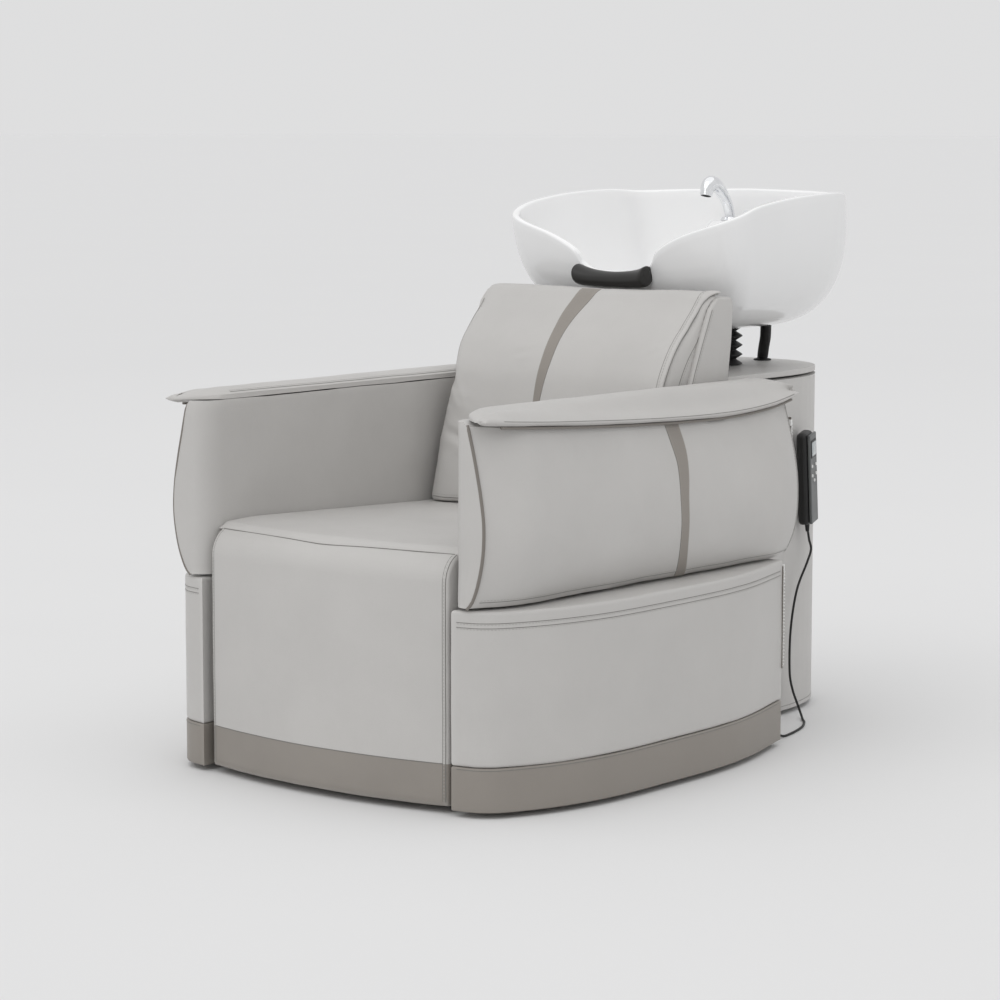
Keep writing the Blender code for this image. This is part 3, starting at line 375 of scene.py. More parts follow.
def finish_mesh(mesh, material, smooth):
    bm = bmesh.new()
    bm.from_mesh(mesh)
    bmesh.ops.remove_doubles(bm, verts=bm.verts, dist=1e-6)
    bmesh.ops.recalc_face_normals(bm, faces=bm.faces)
    bm.to_mesh(mesh)
    bm.free()
    mesh.polygons.foreach_set("use_smooth", [True] * len(mesh.polygons))
    mesh.set_sharp_from_angle(angle=radians(smooth))
    mesh.materials.append(MATERIALS[material])


def piece(name, verts, faces, material, smooth=50):
    mesh = bpy.data.meshes.new(name)
    mesh.from_pydata([W(v) for v in verts], [], faces)
    obj = bpy.data.objects.new(name, mesh)
    SCENE.collection.objects.link(obj)
    finish_mesh(mesh, material, smooth)
    return obj


def strip_faces(rows, columns):
    """Quads over rows of points, each row closed on itself."""
    faces = []
    for i in range(rows - 1):
        for j in range(columns):
            k = (j + 1) % columns
            faces.append((i * columns + j, i * columns + k, (i + 1) * columns + k, (i + 1) * columns + j))
    return faces


def loft(name, rings, material, smooth=50, dome=0.0):
    """A closed body through the rings, with ends crowned outwards by dome."""
    rings = [np.array(ring, float) for ring in rings]
    if dome:
        rings = [*domed(rings[0], rings[1], dome)[::-1], *rings, *domed(rings[-1], rings[-2], dome)]
    columns = len(rings[0])
    verts = [tuple(point) for ring in rings for point in ring]
    faces = strip_faces(len(rings), columns)
    for ring, start in ((rings[0], 0), (rings[-1], len(verts) - columns)):
        verts.append(tuple(ring.mean(axis=0)))
        centre = len(verts) - 1
        faces += [(start + j, start + (j + 1) % columns, centre) for j in range(columns)]
    return piece(name, verts, faces, material, smooth)


def domed(ring, inner, depth):
    centre = ring.mean(axis=0)
    out = centre - inner.mean(axis=0)
    out /= np.linalg.norm(out)
    rings = []
    for angle in quarter(6)[1:-1]:
        rings.append(centre + (ring - centre) * cos(angle) ** 0.55 + out * depth * sin(angle))
    return rings


def tube(name, points, radius, material, sides=8):
    """A round bead along the line, with capped ends. Radius is one number, or one for each point."""
    points = [np.array(point, float) for point in points]
    radii = [radius] * len(points) if isinstance(radius, float) else radius
    side = None
    rings = []
    for i, point in enumerate(points):
        along = points[min(i + 1, len(points) - 1)] - points[max(i - 1, 0)]
        along /= np.linalg.norm(along)
        if side is None:
            side = np.cross(along, (0.31, 0.17, 0.93))
        side = side - along * (side @ along)
        side /= np.linalg.norm(side)
        other = np.cross(along, side)
        rings.append([point + radii[i] * (side * cos(a) + other * sin(a)) for a in turns(sides)])
    return loft(name, rings, material, 60)


def stitches(name, points):
    """A row of separate stitches lying along the line."""
    pitch, length, radius = 0.0058, 0.0036, 0.00042
    verts, faces = [], []
    line = even(points, pitch)
    for a, b in zip(line, line[1:]):
        a, b = np.array(a), np.array(b)
        along = (b - a) / np.linalg.norm(b - a)
        side = np.cross(along, (0.2, 0.3, 0.93))
        side /= np.linalg.norm(side)
        other = np.cross(along, side)
        start = len(verts)
        for t, size in ((-0.5, 0.45), (-0.28, 1.0), (0.28, 1.0), (0.5, 0.45)):
            middle = (a + b) / 2 + along * length * t
            verts += [middle + radius * size * (side * cos(a) + other * sin(a)) for a in turns(6)]
        faces += [tuple(start + v for v in face) for face in strip_faces(4, 6)]
        faces += [tuple(start + k for k in range(6)), tuple(start + 18 + k for k in range(6))]
    return piece(name, [tuple(v) for v in verts], faces, "thread", 60)


def surface(obj):
    """A search tree over the finished shape of a piece, in the seat's frame."""
    graph = bpy.context.evaluated_depsgraph_get()
    mesh = obj.evaluated_get(graph).to_mesh()
    verts = [obj.matrix_world @ v.co + Vector((0, UNIT_Y, 0)) for v in mesh.vertices]
    return BVHTree.FromPolygons(verts, [tuple(p.vertices) for p in mesh.polygons])


def laid(tree, points, lift=0.0):
    """The points moved onto the surface and raised off it by lift."""
    moved = []
    for point in points:
        spot, normal, _, _ = tree.find_nearest(Vector(point))
        moved.append(tuple(spot + normal * lift))
    return moved


def seam(name, tree, points, radius, sewn=0.0, side=(0, 0, 1), body="base"):
    """A sewn line: a dark bead of painted shade along the groove between two leathers and, if sewn, a row of
    stitches that far beside it.
    """
    line = laid(tree, even(points, 0.01), -0.15 * radius)
    ride(tube(name, line, radius, "seam_shade"), body)
    if sewn:
        beside = [tuple(np.array(p) + sewn * np.array(side)) for p in line]
        ride(stitches(f"{name}_stitches", laid(tree, beside, 0.0001)), body)


def ride(obj, body="base"):
    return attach(obj, body)


def apply_modifiers(obj):
    graph = bpy.context.evaluated_depsgraph_get()
    mesh = bpy.data.meshes.new_from_object(obj.evaluated_get(graph))
    old = obj.data
    obj.modifiers.clear()
    obj.data = mesh
    bpy.data.meshes.remove(old)
    mesh.polygons.foreach_set("use_smooth", [True] * len(mesh.polygons))


def gathered(rows, key):
    found = np.empty(len(rows) * 3, np.float32)
    rows.foreach_get(key, found)
    return found.reshape(-1, 3).astype(float)


def coordinates(obj):
    return gathered(obj.data.vertices, "co")


def normals(obj):
    return gathered(obj.data.vertex_normals, "vector")


def set_coordinates(obj, co):
    obj.data.vertices.foreach_set("co", np.ascontiguousarray(co, np.float32).ravel())
    obj.data.update()


def stuffed(obj, voxel, cap):
    """Fills the piece like a cushion: an even mesh, blown up by cloth under pressure, and smoothed."""
    remesh = obj.modifiers.new("even", "REMESH")
    remesh.mode, remesh.voxel_size = "VOXEL", voxel
    apply_modifiers(obj)
    rest = coordinates(obj)
    cloth = obj.modifiers.new("fill", "CLOTH")
    settings = cloth.settings
    settings.quality, settings.mass = 4, 0.3
    settings.use_pressure, settings.uniform_pressure_force = True, 4.0
    settings.effector_weights.gravity = 0
    settings.tension_stiffness = settings.compression_stiffness = 25
    settings.shear_stiffness, settings.bending_stiffness = 12, 3
    cloth.point_cache.frame_start, cloth.point_cache.frame_end = 1, 20
    for number in range(1, 21):
        SCENE.frame_set(number)
    apply_modifiers(obj)
    moved = coordinates(obj) - rest
    far = np.linalg.norm(moved, axis=1, keepdims=True) + 1e-9
    set_coordinates(obj, rest + moved * (cap * np.tanh(far / cap) / far))
    SCENE.frame_set(1)
    soften = obj.modifiers.new("soften", "SMOOTH")
    soften.factor, soften.iterations = 0.5, 4
    finer = obj.modifiers.new("finer", "SUBSURF")
    finer.levels = finer.render_levels = 1
    apply_modifiers(obj)


def undulate(obj, amount, size, seed, fade=None):
    """Broad, uneven give in the filling, as on a seat that has been used, scaled by fade(coordinates)."""
    co, out = coordinates(obj), normals(obj)
    shift = Vector((seed, seed * 0.7, -seed))
    places = [Vector(point) / size for point in co]
    heights = np.array([noise.noise(p + shift) + 0.4 * noise.noise(p * 2.3 - shift) for p in places])
    if fade:
        heights *= fade(co)
    set_coordinates(obj, co + out * (amount * heights)[:, None])


def crease_all(obj, wrinkles):
    for wrinkle in wrinkles:
        crease(obj, *wrinkle)


def crease(obj, start, end, depth, width):
    """A pulled wrinkle: a valley along the line with a ridge on both sides, fading at its ends."""
    co, out = coordinates(obj), normals(obj)
    a, b = np.array(W(start)), np.array(W(end))
    along = b - a
    t = np.clip((co - a) @ along / (along @ along), 0, 1)
    away = np.linalg.norm(co - (a + t[:, None] * along), axis=1) / width
    fade = np.sin(np.pi * np.clip(t * 0.9 + 0.05, 0, 1))
    shape = (1 - 2 * away**2) * np.exp(-(away**2))
    set_coordinates(obj, co - out * (depth * fade * shape)[:, None])


def inset(outline, depth):
    """The closed plan outline moved inwards by depth."""
    points = np.array(outline, float)
    before, after = np.roll(points, 1, axis=0), np.roll(points, -1, axis=0)
    turning = np.sum(points[:, 0] * after[:, 1] - after[:, 0] * points[:, 1])
    along = after - before
    along /= np.linalg.norm(along, axis=1, keepdims=True) + 1e-12
    inward = np.column_stack([-along[:, 1], along[:, 0]]) * copysign(1, turning)
    return points + inward * depth


def rounded_prism(name, outline, low, high, radius, axis, material, levels):
    """An outline drawn out along an axis, with both ends rolled over by radius."""
    rolled = [(radius * (1 - cos(a)), radius * (1 - sin(a))) for a in quarter(5)]
    ends = [(low + height, depth) for height, depth in rolled]
    tops = [(high - height, depth) for height, depth in reversed(rolled)]
    middle = [(low + radius + (high - low - 2 * radius) * k / levels, 0) for k in range(1, levels)]
    rings = []
    for level, depth in [*ends, *middle, *tops]:
        ring = inset(outline, depth)
        rings.append([(level, a, b) if axis == "X" else (a, b, level) for a, b in ring])
    return loft(name, rings, material, 50)


def lathe(name, profile, axis_y, material, sides):
    """A closed profile of (radius, height) points turned about an upright axis at x 0."""
    verts = []
    for turn in turns(sides):
        verts += [(r * cos(turn), axis_y + r * sin(turn), z) for r, z in profile]
    count = len(profile)
    faces = []
    for i in range(sides):
        for j in range(count):
            k, m = (j + 1) % count, (i + 1) % sides
            faces.append((i * count + j, i * count + k, m * count + k, m * count + j))
    return piece(name, verts, faces, material, 60)


def inlay(name, tree, left, right):
    """A strip of leather let into a cover between two edge lines, with a sewn seam along each of them."""
    rows = []
    for a, b in zip(left, right):
        rows.append([tuple(point) for point in np.linspace(a, b, 7)])
    rings = [laid(tree, row, 0.0008) + laid(tree, row, -0.0015)[::-1] for row in rows]
    ride(loft(name, rings, "strip", 60))
    for word, line in (("first", left), ("second", right)):
        seam(f"{name}_{word}_seam", tree, line, 0.0008)


# ---- legrest and seat

PANEL_HALF, BOW, NOSE, LEG_Z = 0.265, 0.032, 0.048, 0.378
PANEL_TOP = LEG_Z + NOSE
CHEEK_X, PANEL_BACK, PANEL_SEAM_X, PANEL_ROLL = 0.247, 0.0615, 0.2608, 0.006


def panel_front(x):
    return 0.005 - BOW * (1 - (x / PANEL_HALF) ** 2)


def on_nose(x, angle):
    """A point of the panel's rolled top edge, angle up from its front."""
    return x, panel_front(x) + NOSE * (1 - cos(angle)), LEG_Z + NOSE * sin(angle)


def legrest_ring(x, rim, solid):
    """The cover's section: up the front, over the nose, then back inside; solid closes it at its back."""
    front = panel_front(min(max(x, -PANEL_HALF), PANEL_HALF)) + rim
    outer = [(0.06, 0.012 + rim), (0.03, 0.012 + rim), (front + 0.008, 0.012 + rim)]
    outer += [(front + 0.0025, 0.0135 + rim), (front, 0.018 + rim)]
    outer += [(front, z) for z in ramp(0.018, LEG_Z, 40)[1:]]
    for a in quarter(16)[1:]:
        outer.append((front + NOSE * (1 - cos(a)) - rim * 0.2, LEG_Z + (NOSE - rim) * sin(a)))
    outer += [(0.044, PANEL_TOP - rim), (0.066, PANEL_TOP - rim)]
    if solid:
        inner = [(PANEL_BACK, z) for z in ramp(0.4255 - rim, 0.0125 + rim, len(outer) - 1)]
    else:
        inner = [(min(y + 0.018, 0.06), min(max(z, 0.03), PANEL_TOP - 0.018)) for y, z in reversed(outer)]
        inner[0] = (0.0655, PANEL_TOP - 0.018)
    return [(x, y, z) for y, z in outer + inner]


def make_legrest():
    half = [*[k * 0.0095 for k in range(26)], CHEEK_X - 0.0004, CHEEK_X + 0.0004, 0.254]
    stations = [(x, 0.0, x > CHEEK_X) for x in half]
    for a in quarter(5):
        stations.append((PANEL_HALF - PANEL_ROLL * (1 - sin(a)), PANEL_ROLL * (1 - cos(a)), True))
    both = [(-x, rim, solid) for x, rim, solid in reversed(stations[1:])] + stations
    rings = [legrest_ring(*station) for station in both]
    verts = [point for ring in rings for point in ring]
    count = len(rings[0])
    faces = strip_faces(len(rings), count)
    for start in (0, len(verts) - count):
        end = start + count - 1
        faces += [(start + k, start + k + 1, end - 1 - k, end - k) for k in range(count // 2 - 1)]
    cover = piece("legrest_cover", verts, faces, "panel", 50)
    undulate(cover, 0.0009, 0.1, 1.3)
    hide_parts("legrest_panel", "legrest_band")
    ride(cover, "legrest")
    tree = surface(cover)
    hem = [(x, panel_front(x) - 0.001, HEM_Z) for x in ramp(-0.256, 0.256, 64)]
    seam("band_seam", tree, hem, 0.0008, body="legrest")
    for word, side in SIDES:
        edge_x = side * PANEL_SEAM_X
        edge = [(edge_x, panel_front(edge_x) - 0.001, z) for z in ramp(0.02, LEG_Z, 30)]
        edge += [on_nose(edge_x, a) for a in quarter(12)[1:10]]
        seam(f"panel_seam_{word}", tree, edge, 0.0008, 0.003, (-side, 0, 0), "legrest")
        inside = [(x - side * 0.0058, y, z) for x, y, z in edge]
        seam(f"panel_topstitch_{word}", tree, inside, 0.0005, body="legrest")


def nose_seam_angle(x):
    dip = 6.0 * exp(-(x**2) / (2 * 0.05**2))
    return radians(68.0 - dip - 2.0 * (abs(x) / 0.26) ** 6)


SEAT_HALF, SEAT_TOP, SEAT_ROLL = 0.2712, 0.4335, 0.009


def seat_ring(x):
    """The cushion's section: from the nose seam over the top to the rear, and back underneath."""
    inner = min(max(x, -PANEL_HALF), PANEL_HALF)
    front = panel_front(inner)
    near = max(abs(x) - (SEAT_HALF - SEAT_ROLL), 0) / SEAT_ROLL
    drop = SEAT_ROLL * (1 - sqrt(max(1 - near**2, 0)))
    start = nose_seam_angle(inner)
    top, under = [], []
    for k in range(15):
        a = start + (pi / 2 - start) * k / 14
        thick = 0.0002 + 0.0068 * sin(pi / 2 * k / 14) ** 0.8
        thick = max(thick - drop, 0.0003)
        y = front + NOSE * (1 - cos(a))
        top.append((y - thick * cos(a), LEG_Z + (NOSE + thick) * sin(a)))
        under.append((y + 0.0008, LEG_Z + (NOSE - 0.0016) * sin(a)))
    flat = front + NOSE
    for k in range(1, 9):
        y = flat + (0.098 - flat) * k / 8
        full = 0.007 + 0.002 * k / 8
        top.append((y, PANEL_TOP + max(full - drop, 0.0003)))
        under.append((y, PANEL_TOP - 0.0016))
    under[-1] = (0.0975, 0.4225)
    crown = 0.003 * (1 - (x / SEAT_HALF) ** 2)
    rear = [0.108, 0.12, 0.135, *[0.15 + 0.02 * k for k in range(24)], 0.622, 0.632, 0.638, 0.642, 0.644]
    for y in rear:
        ease = sin(pi / 2 * min((y - 0.098) / 0.1, 1))
        roll = 0.014 * (1 - sqrt(max(1 - (max(y - 0.63, 0) / 0.014) ** 2, 0)))
        fall = 0.017 * min(max(y - 0.12, 0) / 0.5, 1)
        top.append((y, SEAT_TOP + 0.0015 + crown * ease - fall - drop - roll))
    below = [(0.644, 0.4), (0.644, 0.375), (0.644, 0.3465)]
    below += [(0.644 - 0.02 * k, 0.346) for k in range(1, 27)]
    below += [(0.108 + 0.003 * sin(pi * k / 6), 0.346 + 0.068 * k / 6) for k in range(7)]
    return [(x, y, z) for y, z in [*top, *below, *under[::-1]]]


def make_seat():
    half = [k * 0.0104 for k in range(25)]
    half += [SEAT_HALF - SEAT_ROLL * (1 - sin(a)) for a in quarter(7)]
    stations = [-x for x in reversed(half[1:])] + half
    cover = loft("seat_cover", [seat_ring(x) for x in stations], "leather", 55)
    undulate(cover, 0.0022, 0.13, 0.0, seat_fade)
    crease_all(cover, (
        ((-0.262, 0.2, 0.43), (-0.2, 0.23, 0.43), 0.0018, 0.009),
        ((0.262, 0.3, 0.43), (0.205, 0.33, 0.43), 0.0018, 0.009),
        ((-0.262, 0.33, 0.43), (-0.215, 0.32, 0.43), 0.0018, 0.009),
        ((0.262, 0.17, 0.43), (0.22, 0.16, 0.43), 0.0018, 0.009),
        ((0.001, 0.0, 0.426), (-0.034, 0.04, 0.433), 0.0034, 0.0065),
        ((0.03, 0.004, 0.427), (0.02, 0.044, 0.433), 0.0032, 0.0065),
        ((0.018, 0.03, 0.431), (-0.02, 0.075, 0.434), 0.0022, 0.0065),
        ((0.215, 0.03, 0.43), (0.2, 0.075, 0.434), 0.0014, 0.0065),
        ((-0.1, 0.015, 0.428), (-0.125, 0.06, 0.434), 0.001, 0.0065),
    ))
    tree = surface(cover)
    line = [on_nose(x, nose_seam_angle(x)) for x in ramp(-0.258, 0.258, 60)]
    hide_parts("seat_cushion")
    run = laid(tree, even(line, 0.008))
    # Painted shade: a dark bead along the nose seam stands in for the shade in its groove.
    nose_seam_shade = tube("nose_seam", run, 0.0009, "seam_shade")
    beside = [(x, y + 0.004, z + 0.0012) for x, y, z in run]
    for obj in (cover, nose_seam_shade, stitches("nose_seam_stitches", laid(tree, beside, 0.0001))):
        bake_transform(obj)


def seat_fade(co):
    """The waves die away towards the nose, where the cover is thin, and at the arms."""
    behind = np.clip((co[:, 1] + UNIT_Y - 0.095) / 0.08, 0, 1)
    return behind * np.clip((0.2699 - np.abs(co[:, 0])) / 0.02, 0.1, 1)


# ---- back

BACK_FACE = [(0.562, 0.418), (0.588, 0.54), (0.604, 0.62), (0.618, 0.668), (0.648, 0.716), (0.688, 0.756),
             (0.726, 0.79), (0.744, 0.809), (0.76, 0.815), (0.772, 0.812), (0.777, 0.805)]
BACK_SEAM = [(0.644, 0.423), (0.659, 0.55), (0.672, 0.65), (0.7, 0.722), (0.734, 0.788), (0.752, 0.8045)]
EDGE_HEIGHTS = (0.43, 0.534, 0.59, 0.649, 0.7, 0.766, 0.83)
EDGE_HALVES = (0.2655, 0.2645, 0.258, 0.246, 0.256, 0.262, 0.258)
SHELL_HALF = 0.2645


def back_half(z, side):
    """Half the cushion's width at a height, on its straight right side or its waisted left."""
    if side > 0:
        return 0.262
    return float(np.interp(z, EDGE_HEIGHTS, EDGE_HALVES))


def back_ring(u):
    """The cushion's section at u, -1 at its left edge and 1 at its right, with the face drawn back there."""
    face = even(smooth_path(BACK_FACE, 6), 0.0095)
    back = even([*BACK_SEAM, (0.77, 0.8046)], 0.0095)
    share = (1 - min(abs(u), 1) ** 26) ** 0.5
    ring = []
    for y, z in face:
        t = (z - 0.418) / (0.805 - 0.418)
        seam_y = float(np.interp(z, [b[1] for b in BACK_SEAM], [b[0] for b in BACK_SEAM]))
        seam_z = min(z, 0.8046)
        swell = 0.004 * cos(pi / 2 * u) * sin(pi * min(max(t, 0), 1))
        share_here = share if z < 0.79 else max(share, 0.3)
        y_here = seam_y + (y - swell - seam_y) * (0.06 + 0.94 * share_here)
        z_here = seam_z + (z - seam_z) * (0.15 + 0.85 * share)
        ring.append((u * back_half(z, u), y_here, z_here))
    return ring + [(u * back_half(z, u), y, z) for y, z in reversed(back)]


def make_back():
    us = [max(min(sin(pi / 2 * (k / 28 - 1)), 1), -1) for k in range(57)]
    cushion = loft("back_cushion_cover", [back_ring(u) for u in us], "leather", 60)
    stuffed(cushion, 0.0062, 0.005)
    undulate(cushion, 0.0016, 0.11, 4.1)
    crease_all(cushion, (
        ((-0.25, 0.63, 0.622), (-0.175, 0.6, 0.6), 0.0034, 0.012),
        ((-0.225, 0.61, 0.64), (-0.18, 0.6, 0.575), 0.003, 0.01),
        ((-0.235, 0.59, 0.555), (-0.12, 0.575, 0.515), 0.003, 0.013),
        ((-0.2, 0.585, 0.53), (-0.1, 0.57, 0.5), 0.0024, 0.012),
        ((0.245, 0.6, 0.56), (0.195, 0.588, 0.53), 0.0024, 0.011),
        ((0.235, 0.66, 0.715), (0.2, 0.64, 0.7), 0.002, 0.01),
        ((-0.05, 0.64, 0.7), (-0.1, 0.63, 0.69), 0.0018, 0.012),
        ((0.245, 0.745, 0.8), (0.215, 0.735, 0.793), 0.003, 0.007),
    ))
    cushion.data.materials.clear()
    cushion.data.materials.append(MATERIALS["leather"])
    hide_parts("back_cushion")
    ride(cushion)
    tree = surface(cushion)
    heights = [(0.747, 0.814), (0.7, 0.774), (0.67, 0.745), (0.642, 0.717), (0.623, 0.688), (0.608, 0.658),
               (0.598, 0.623), (0.59, 0.56), (0.58, 0.49)]
    left_x = [-0.034, -0.038, -0.035, -0.031, -0.0285, -0.0275, -0.0275, -0.0255, -0.023]
    right_x = [0.009, -0.002, -0.0075, -0.0075, -0.007, -0.0085, -0.0125, -0.018, -0.0215]
    left, right = (smooth_path([(x, y, z) for x, (y, z) in zip(xs, heights)], 5) for xs in (left_x, right_x))
    inlay("back_strip", tree, left, right)
    side_lines(tree)
    make_flap(tree)
    foot = [(x, 0.56, 0.43) for x in ramp(-0.245, 0.245, 40)]
    seam("back_foot_seam", tree, foot, 0.0008, 0.005)


def make_shell():
    """The upholstered shell behind the back cushion."""
    rear_line = [(0.784, 0.56), (0.788, 0.652), (0.798, 0.72), (0.803, 0.79)]
    foot = [(0.646, 0.3465), (0.784, 0.3465)]
    corners = [*BACK_SEAM[::-1], *foot, *rear_line, (0.798, 0.8015), (0.79, 0.8042)]
    outline = even([(y + 0.0006, z) for y, z in [*corners, corners[0]]], 0.009)[:-1]
    shell = rounded_prism("back_shell_cover", outline, -SHELL_HALF, SHELL_HALF, 0.005, "X", "leather", 24)
    undulate(shell, 0.001, 0.09, 7.0)
    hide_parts("back_shell")
    ride(shell)
    shell_tree = surface(shell)
    for word, side in SIDES:
        x = side * SHELL_HALF
        second = [(x, 0.7361, 0.7836), (x, 0.7033, 0.7145), (x, 0.6768, 0.6524), (x, 0.667, 0.6)]
        seam(f"shell_seam_{word}", shell_tree, smooth_path(second, 5), 0.0007, 0.004, (0, 1, -0.3))
        rear = [(x * 0.99, y, z) for y, z in reversed(rear_line)]
        inwards = (-side, 0, 0)
        seam(f"shell_rear_seam_{word}", shell_tree, smooth_path(rear, 5), 0.0008, 0.005, inwards)
    top = [(x, 0.8, 0.797) for x in ramp(-0.255, 0.255, 30)]
    seam("shell_top_seam", shell_tree, top, 0.0008, 0.005, (0, 0, -1))


def make_flap(tree):
    """The face leather's turned edge on the right, overhanging the side and curling over at its top."""
    line = even(smooth_path(BACK_FACE[1:9], 6), 0.008)
    section = ((0.0, 0.0002), (0.12, 0.0016), (0.35, 0.0024), (0.65, 0.0024), (0.85, 0.002), (0.96, 0.001),
               (1.0, -0.0006), (0.96, -0.0024), (0.8, -0.0034), (0.45, -0.004), (0.1, -0.003))
    rings = []
    for start, (y, z) in zip(laid(tree, [(0.235, y, z) for y, z in line]), line):
        out = tree.find_nearest(Vector((0.225, y, z)))[1]
        out = np.array((0.0, out.y, out.z)) / hypot(out.y, out.z)
        reach = 0.2496 + 0.015 * max((z - 0.79) / 0.024, 0) ** 1.4
        across = np.array((reach - start[0], 0.0, 0.0))
        rings.append([start + across * u + out * lift for u, lift in section])
    flap = loft("back_flap", rings, "leather", 60, 0.002)
    ride(flap)
    seam("back_flap_seam", tree, [ring[0] for ring in rings], 0.0008)
    inside = [ring[1] + (0.0044, 0, 0) for ring in rings]
    ride(stitches("back_flap_stitches", laid(surface(flap), inside, 0.0001)))
    # Painted shadow: a dark bead under the flap's overhanging edge.
    ride(tube("back_flap_shadow", [ring[8] + (0.0012, 0, 0) for ring in rings], 0.0012, "seam_shade"))


def side_lines(tree):
    """The seam round the cushion's front edge, on its left, and round the gusset on its right."""
    gusset = [(0.26, y + 0.03, z - 0.014) for y, z in smooth_path(BACK_FACE[2:7], 4)]
    seam("gusset_seam", tree, gusset, 0.0007, 0.004, (0, 1, -0.4))
    edge = [(0.0135 - back_half(z, -1), y + 0.004, z - 0.001) for y, z in smooth_path(BACK_FACE[1:8], 4)]
    seam("back_edge_seam_left", tree, edge, 0.0008, 0.0045, (1, 0, 0))


# ---- arms

ARM_X, ARM_LOW, ARM_FRONT, ARM_REAR = 0.272, 0.343, -0.002, 0.85
PAD_FRONT, PAD_REAR, PAD_UNDER, CROWN = -0.009, 0.867, 0.6425, 0.661


def arm_line(y):
    """How far out the arm's foot and lip line run, before the swell between them."""
    front = 0.31 + 0.041 * sin(pi / 2 * min(max(y, 0) / 0.11, 1))
    middle = 0.007 * min(max(y - 0.11, 0) / 0.5, 1)
    return front + middle - 0.014 * (1 - cos(pi / 2 * max(y - 0.78, 0) / 0.07))


def lip_height(y):
    """The pad's lower edge, which falls to its lowest at turn and rises to the rear."""
    turn = 0.62
    if y < turn:
        return 0.613 + 0.03 * (1 - max(y, 0) / turn) ** 1.6
    return 0.613 + 0.02 * min((y - turn) / 0.248, 1) ** 2.2


def lip_line(y):
    reach = 0.355 + 0.011 * sin(pi / 2 * min(max(y, 0) / 0.1, 1))
    return reach + 0.005 * min(max(y - 0.1, 0) / 0.5, 1) - 0.006 * max(y - 0.78, 0) / 0.088


def arm_inner(y):
    near = min(max(1 - (y - ARM_FRONT) / 0.05, 0), 1)
    return ARM_X + 0.032 * (1 - sqrt(1 - near**2))


def arm_outer(y, t):
    """A point of the arm's outer face: t runs from its foot to the pad's lip."""
    top = lip_height(y) - 0.009
    return arm_line(y) + 0.033 * sin(pi * t**0.756), y, ARM_LOW + (top - ARM_LOW) * t


def on_arm(side, y, t, reach=0.0):
    """The same point on the arm of one side, moved inwards by reach."""
    x, y, z = arm_outer(y, t)
    return side * (x - reach), y, z


def arm_ring(y, side):
    inner = arm_inner(y)
    ring = [(inner, y, ARM_LOW), *[arm_outer(y, k / 26) for k in range(27)]]
    high = PAD_UNDER - 0.0015
    ring += [(inner, y, high - (high - ARM_LOW) * k / 24) for k in range(24)]
    return [(side * x, py, z) for x, py, z in ring]


def pad_ring(y, side):
    ends = min((y - PAD_FRONT) / 0.075, (PAD_REAR - y) / 0.06, 1)
    full = sin(pi / 2 * max(ends, 0.0))
    lip, edge = lip_height(y), lip_line(y)
    inner = ARM_X + 0.062 * (1 - full)
    crown = PAD_UNDER + 0.003 + (CROWN - PAD_UNDER - 0.003) * full
    wide = edge - inner
    tip = sqrt(max(min(ends * 6, 1), 0.0))
    top = [(inner, PAD_UNDER + 0.002 * tip + 0.006 * full), (inner + 0.13 * wide, crown - 0.004 * full),
           (inner + 0.32 * wide, crown), (inner + 0.57 * wide, crown - 0.004 * full),
           (edge - 0.02, lip + 0.005 * tip + 0.012 * full), (edge - 0.005, lip + 0.006 * tip), (edge, lip),
           (edge - 0.005, lip - 0.005 * tip)]
    under = lip - 0.006 * tip
    section = [*smooth_path(top, 5), (edge - 0.016, under)]
    section += [(edge - 0.016 + (inner - edge + 0.016) * k / 8, under + (PAD_UNDER - under) * min(k / 3, 1))
                for k in range(1, 9)]
    return [(side * x, y, z) for x, z in section]


def pad_stations():
    inside = quarter(10)[1:10]
    front = [PAD_FRONT + 0.075 * (1 - cos(a)) for a in inside]
    middle = [0.07 + 0.0125 * k for k in range(59)]
    rear = [PAD_REAR - 0.06 * (1 - cos(a)) for a in reversed(inside)]
    return [PAD_FRONT + 0.0002, *front, *middle, *rear, PAD_REAR - 0.0002]


def make_arms():
    near = [ARM_FRONT + 0.05 * (1 - cos(a)) for a in quarter(10)]
    stations = [*near, *[0.06 + 0.012 * k for k in range(65)], 0.838, 0.846, ARM_REAR]
    strip_t = [1.0, 0.86, 0.75, 0.62, 0.51, 0.38, 0.25, 0.12, 0.0]
    strip_left = [0.467, 0.475, 0.48, 0.477, 0.474, 0.474, 0.477, 0.485, 0.4975]
    strip_right = [0.506, 0.511, 0.509, 0.502, 0.496, 0.495, 0.498, 0.508, 0.5256]
    for word, side in SIDES:
        arm = loft(f"arm_cover_{word}", [arm_ring(y, side) for y in stations], "leather", 50, 0.004)
        undulate(arm, 0.0016, 0.1, 2.0 + side)
        arm_creases(arm, side)
        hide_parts(f"arm_{word}")
        ride(arm)
        tree = surface(arm)
        left, right = (smooth_path([on_arm(side, y, t) for y, t in zip(line, strip_t)], 4)
                       for line in (strip_left, strip_right))
        inlay(f"arm_strip_{word}", tree, left, right)
        up = ramp(0, 1, 24)
        front_edge = [(x, 0.0, z) for x, _, z in (on_arm(side, 0.004, t, 0.004) for t in up)]
        piping = laid(tree, even(front_edge, 0.008), 0.0008)
        ride(tube(f"arm_front_piping_{word}", piping, 0.0028, "piping", 12))
        welt = [(x + side * 0.0035, y - 0.0005, z) for x, y, z in front_edge]
        seam(f"arm_front_seam_{word}", tree, welt, 0.0007)
        rear_edge = [on_arm(side, 0.846, t, 0.001) for t in up]
        seam(f"arm_rear_seam_{word}", tree, rear_edge, 0.0008, 0.005, (0, -1, 0))
        foot = [(side * arm_outer(y, 0.03)[0], y, ARM_LOW + 0.009) for y in ramp(0.012, 0.842, 60)]
        seam(f"arm_foot_seam_{word}", tree, foot, 0.0007, 0.004, (0, 0, 1))
        make_pad(word, side)


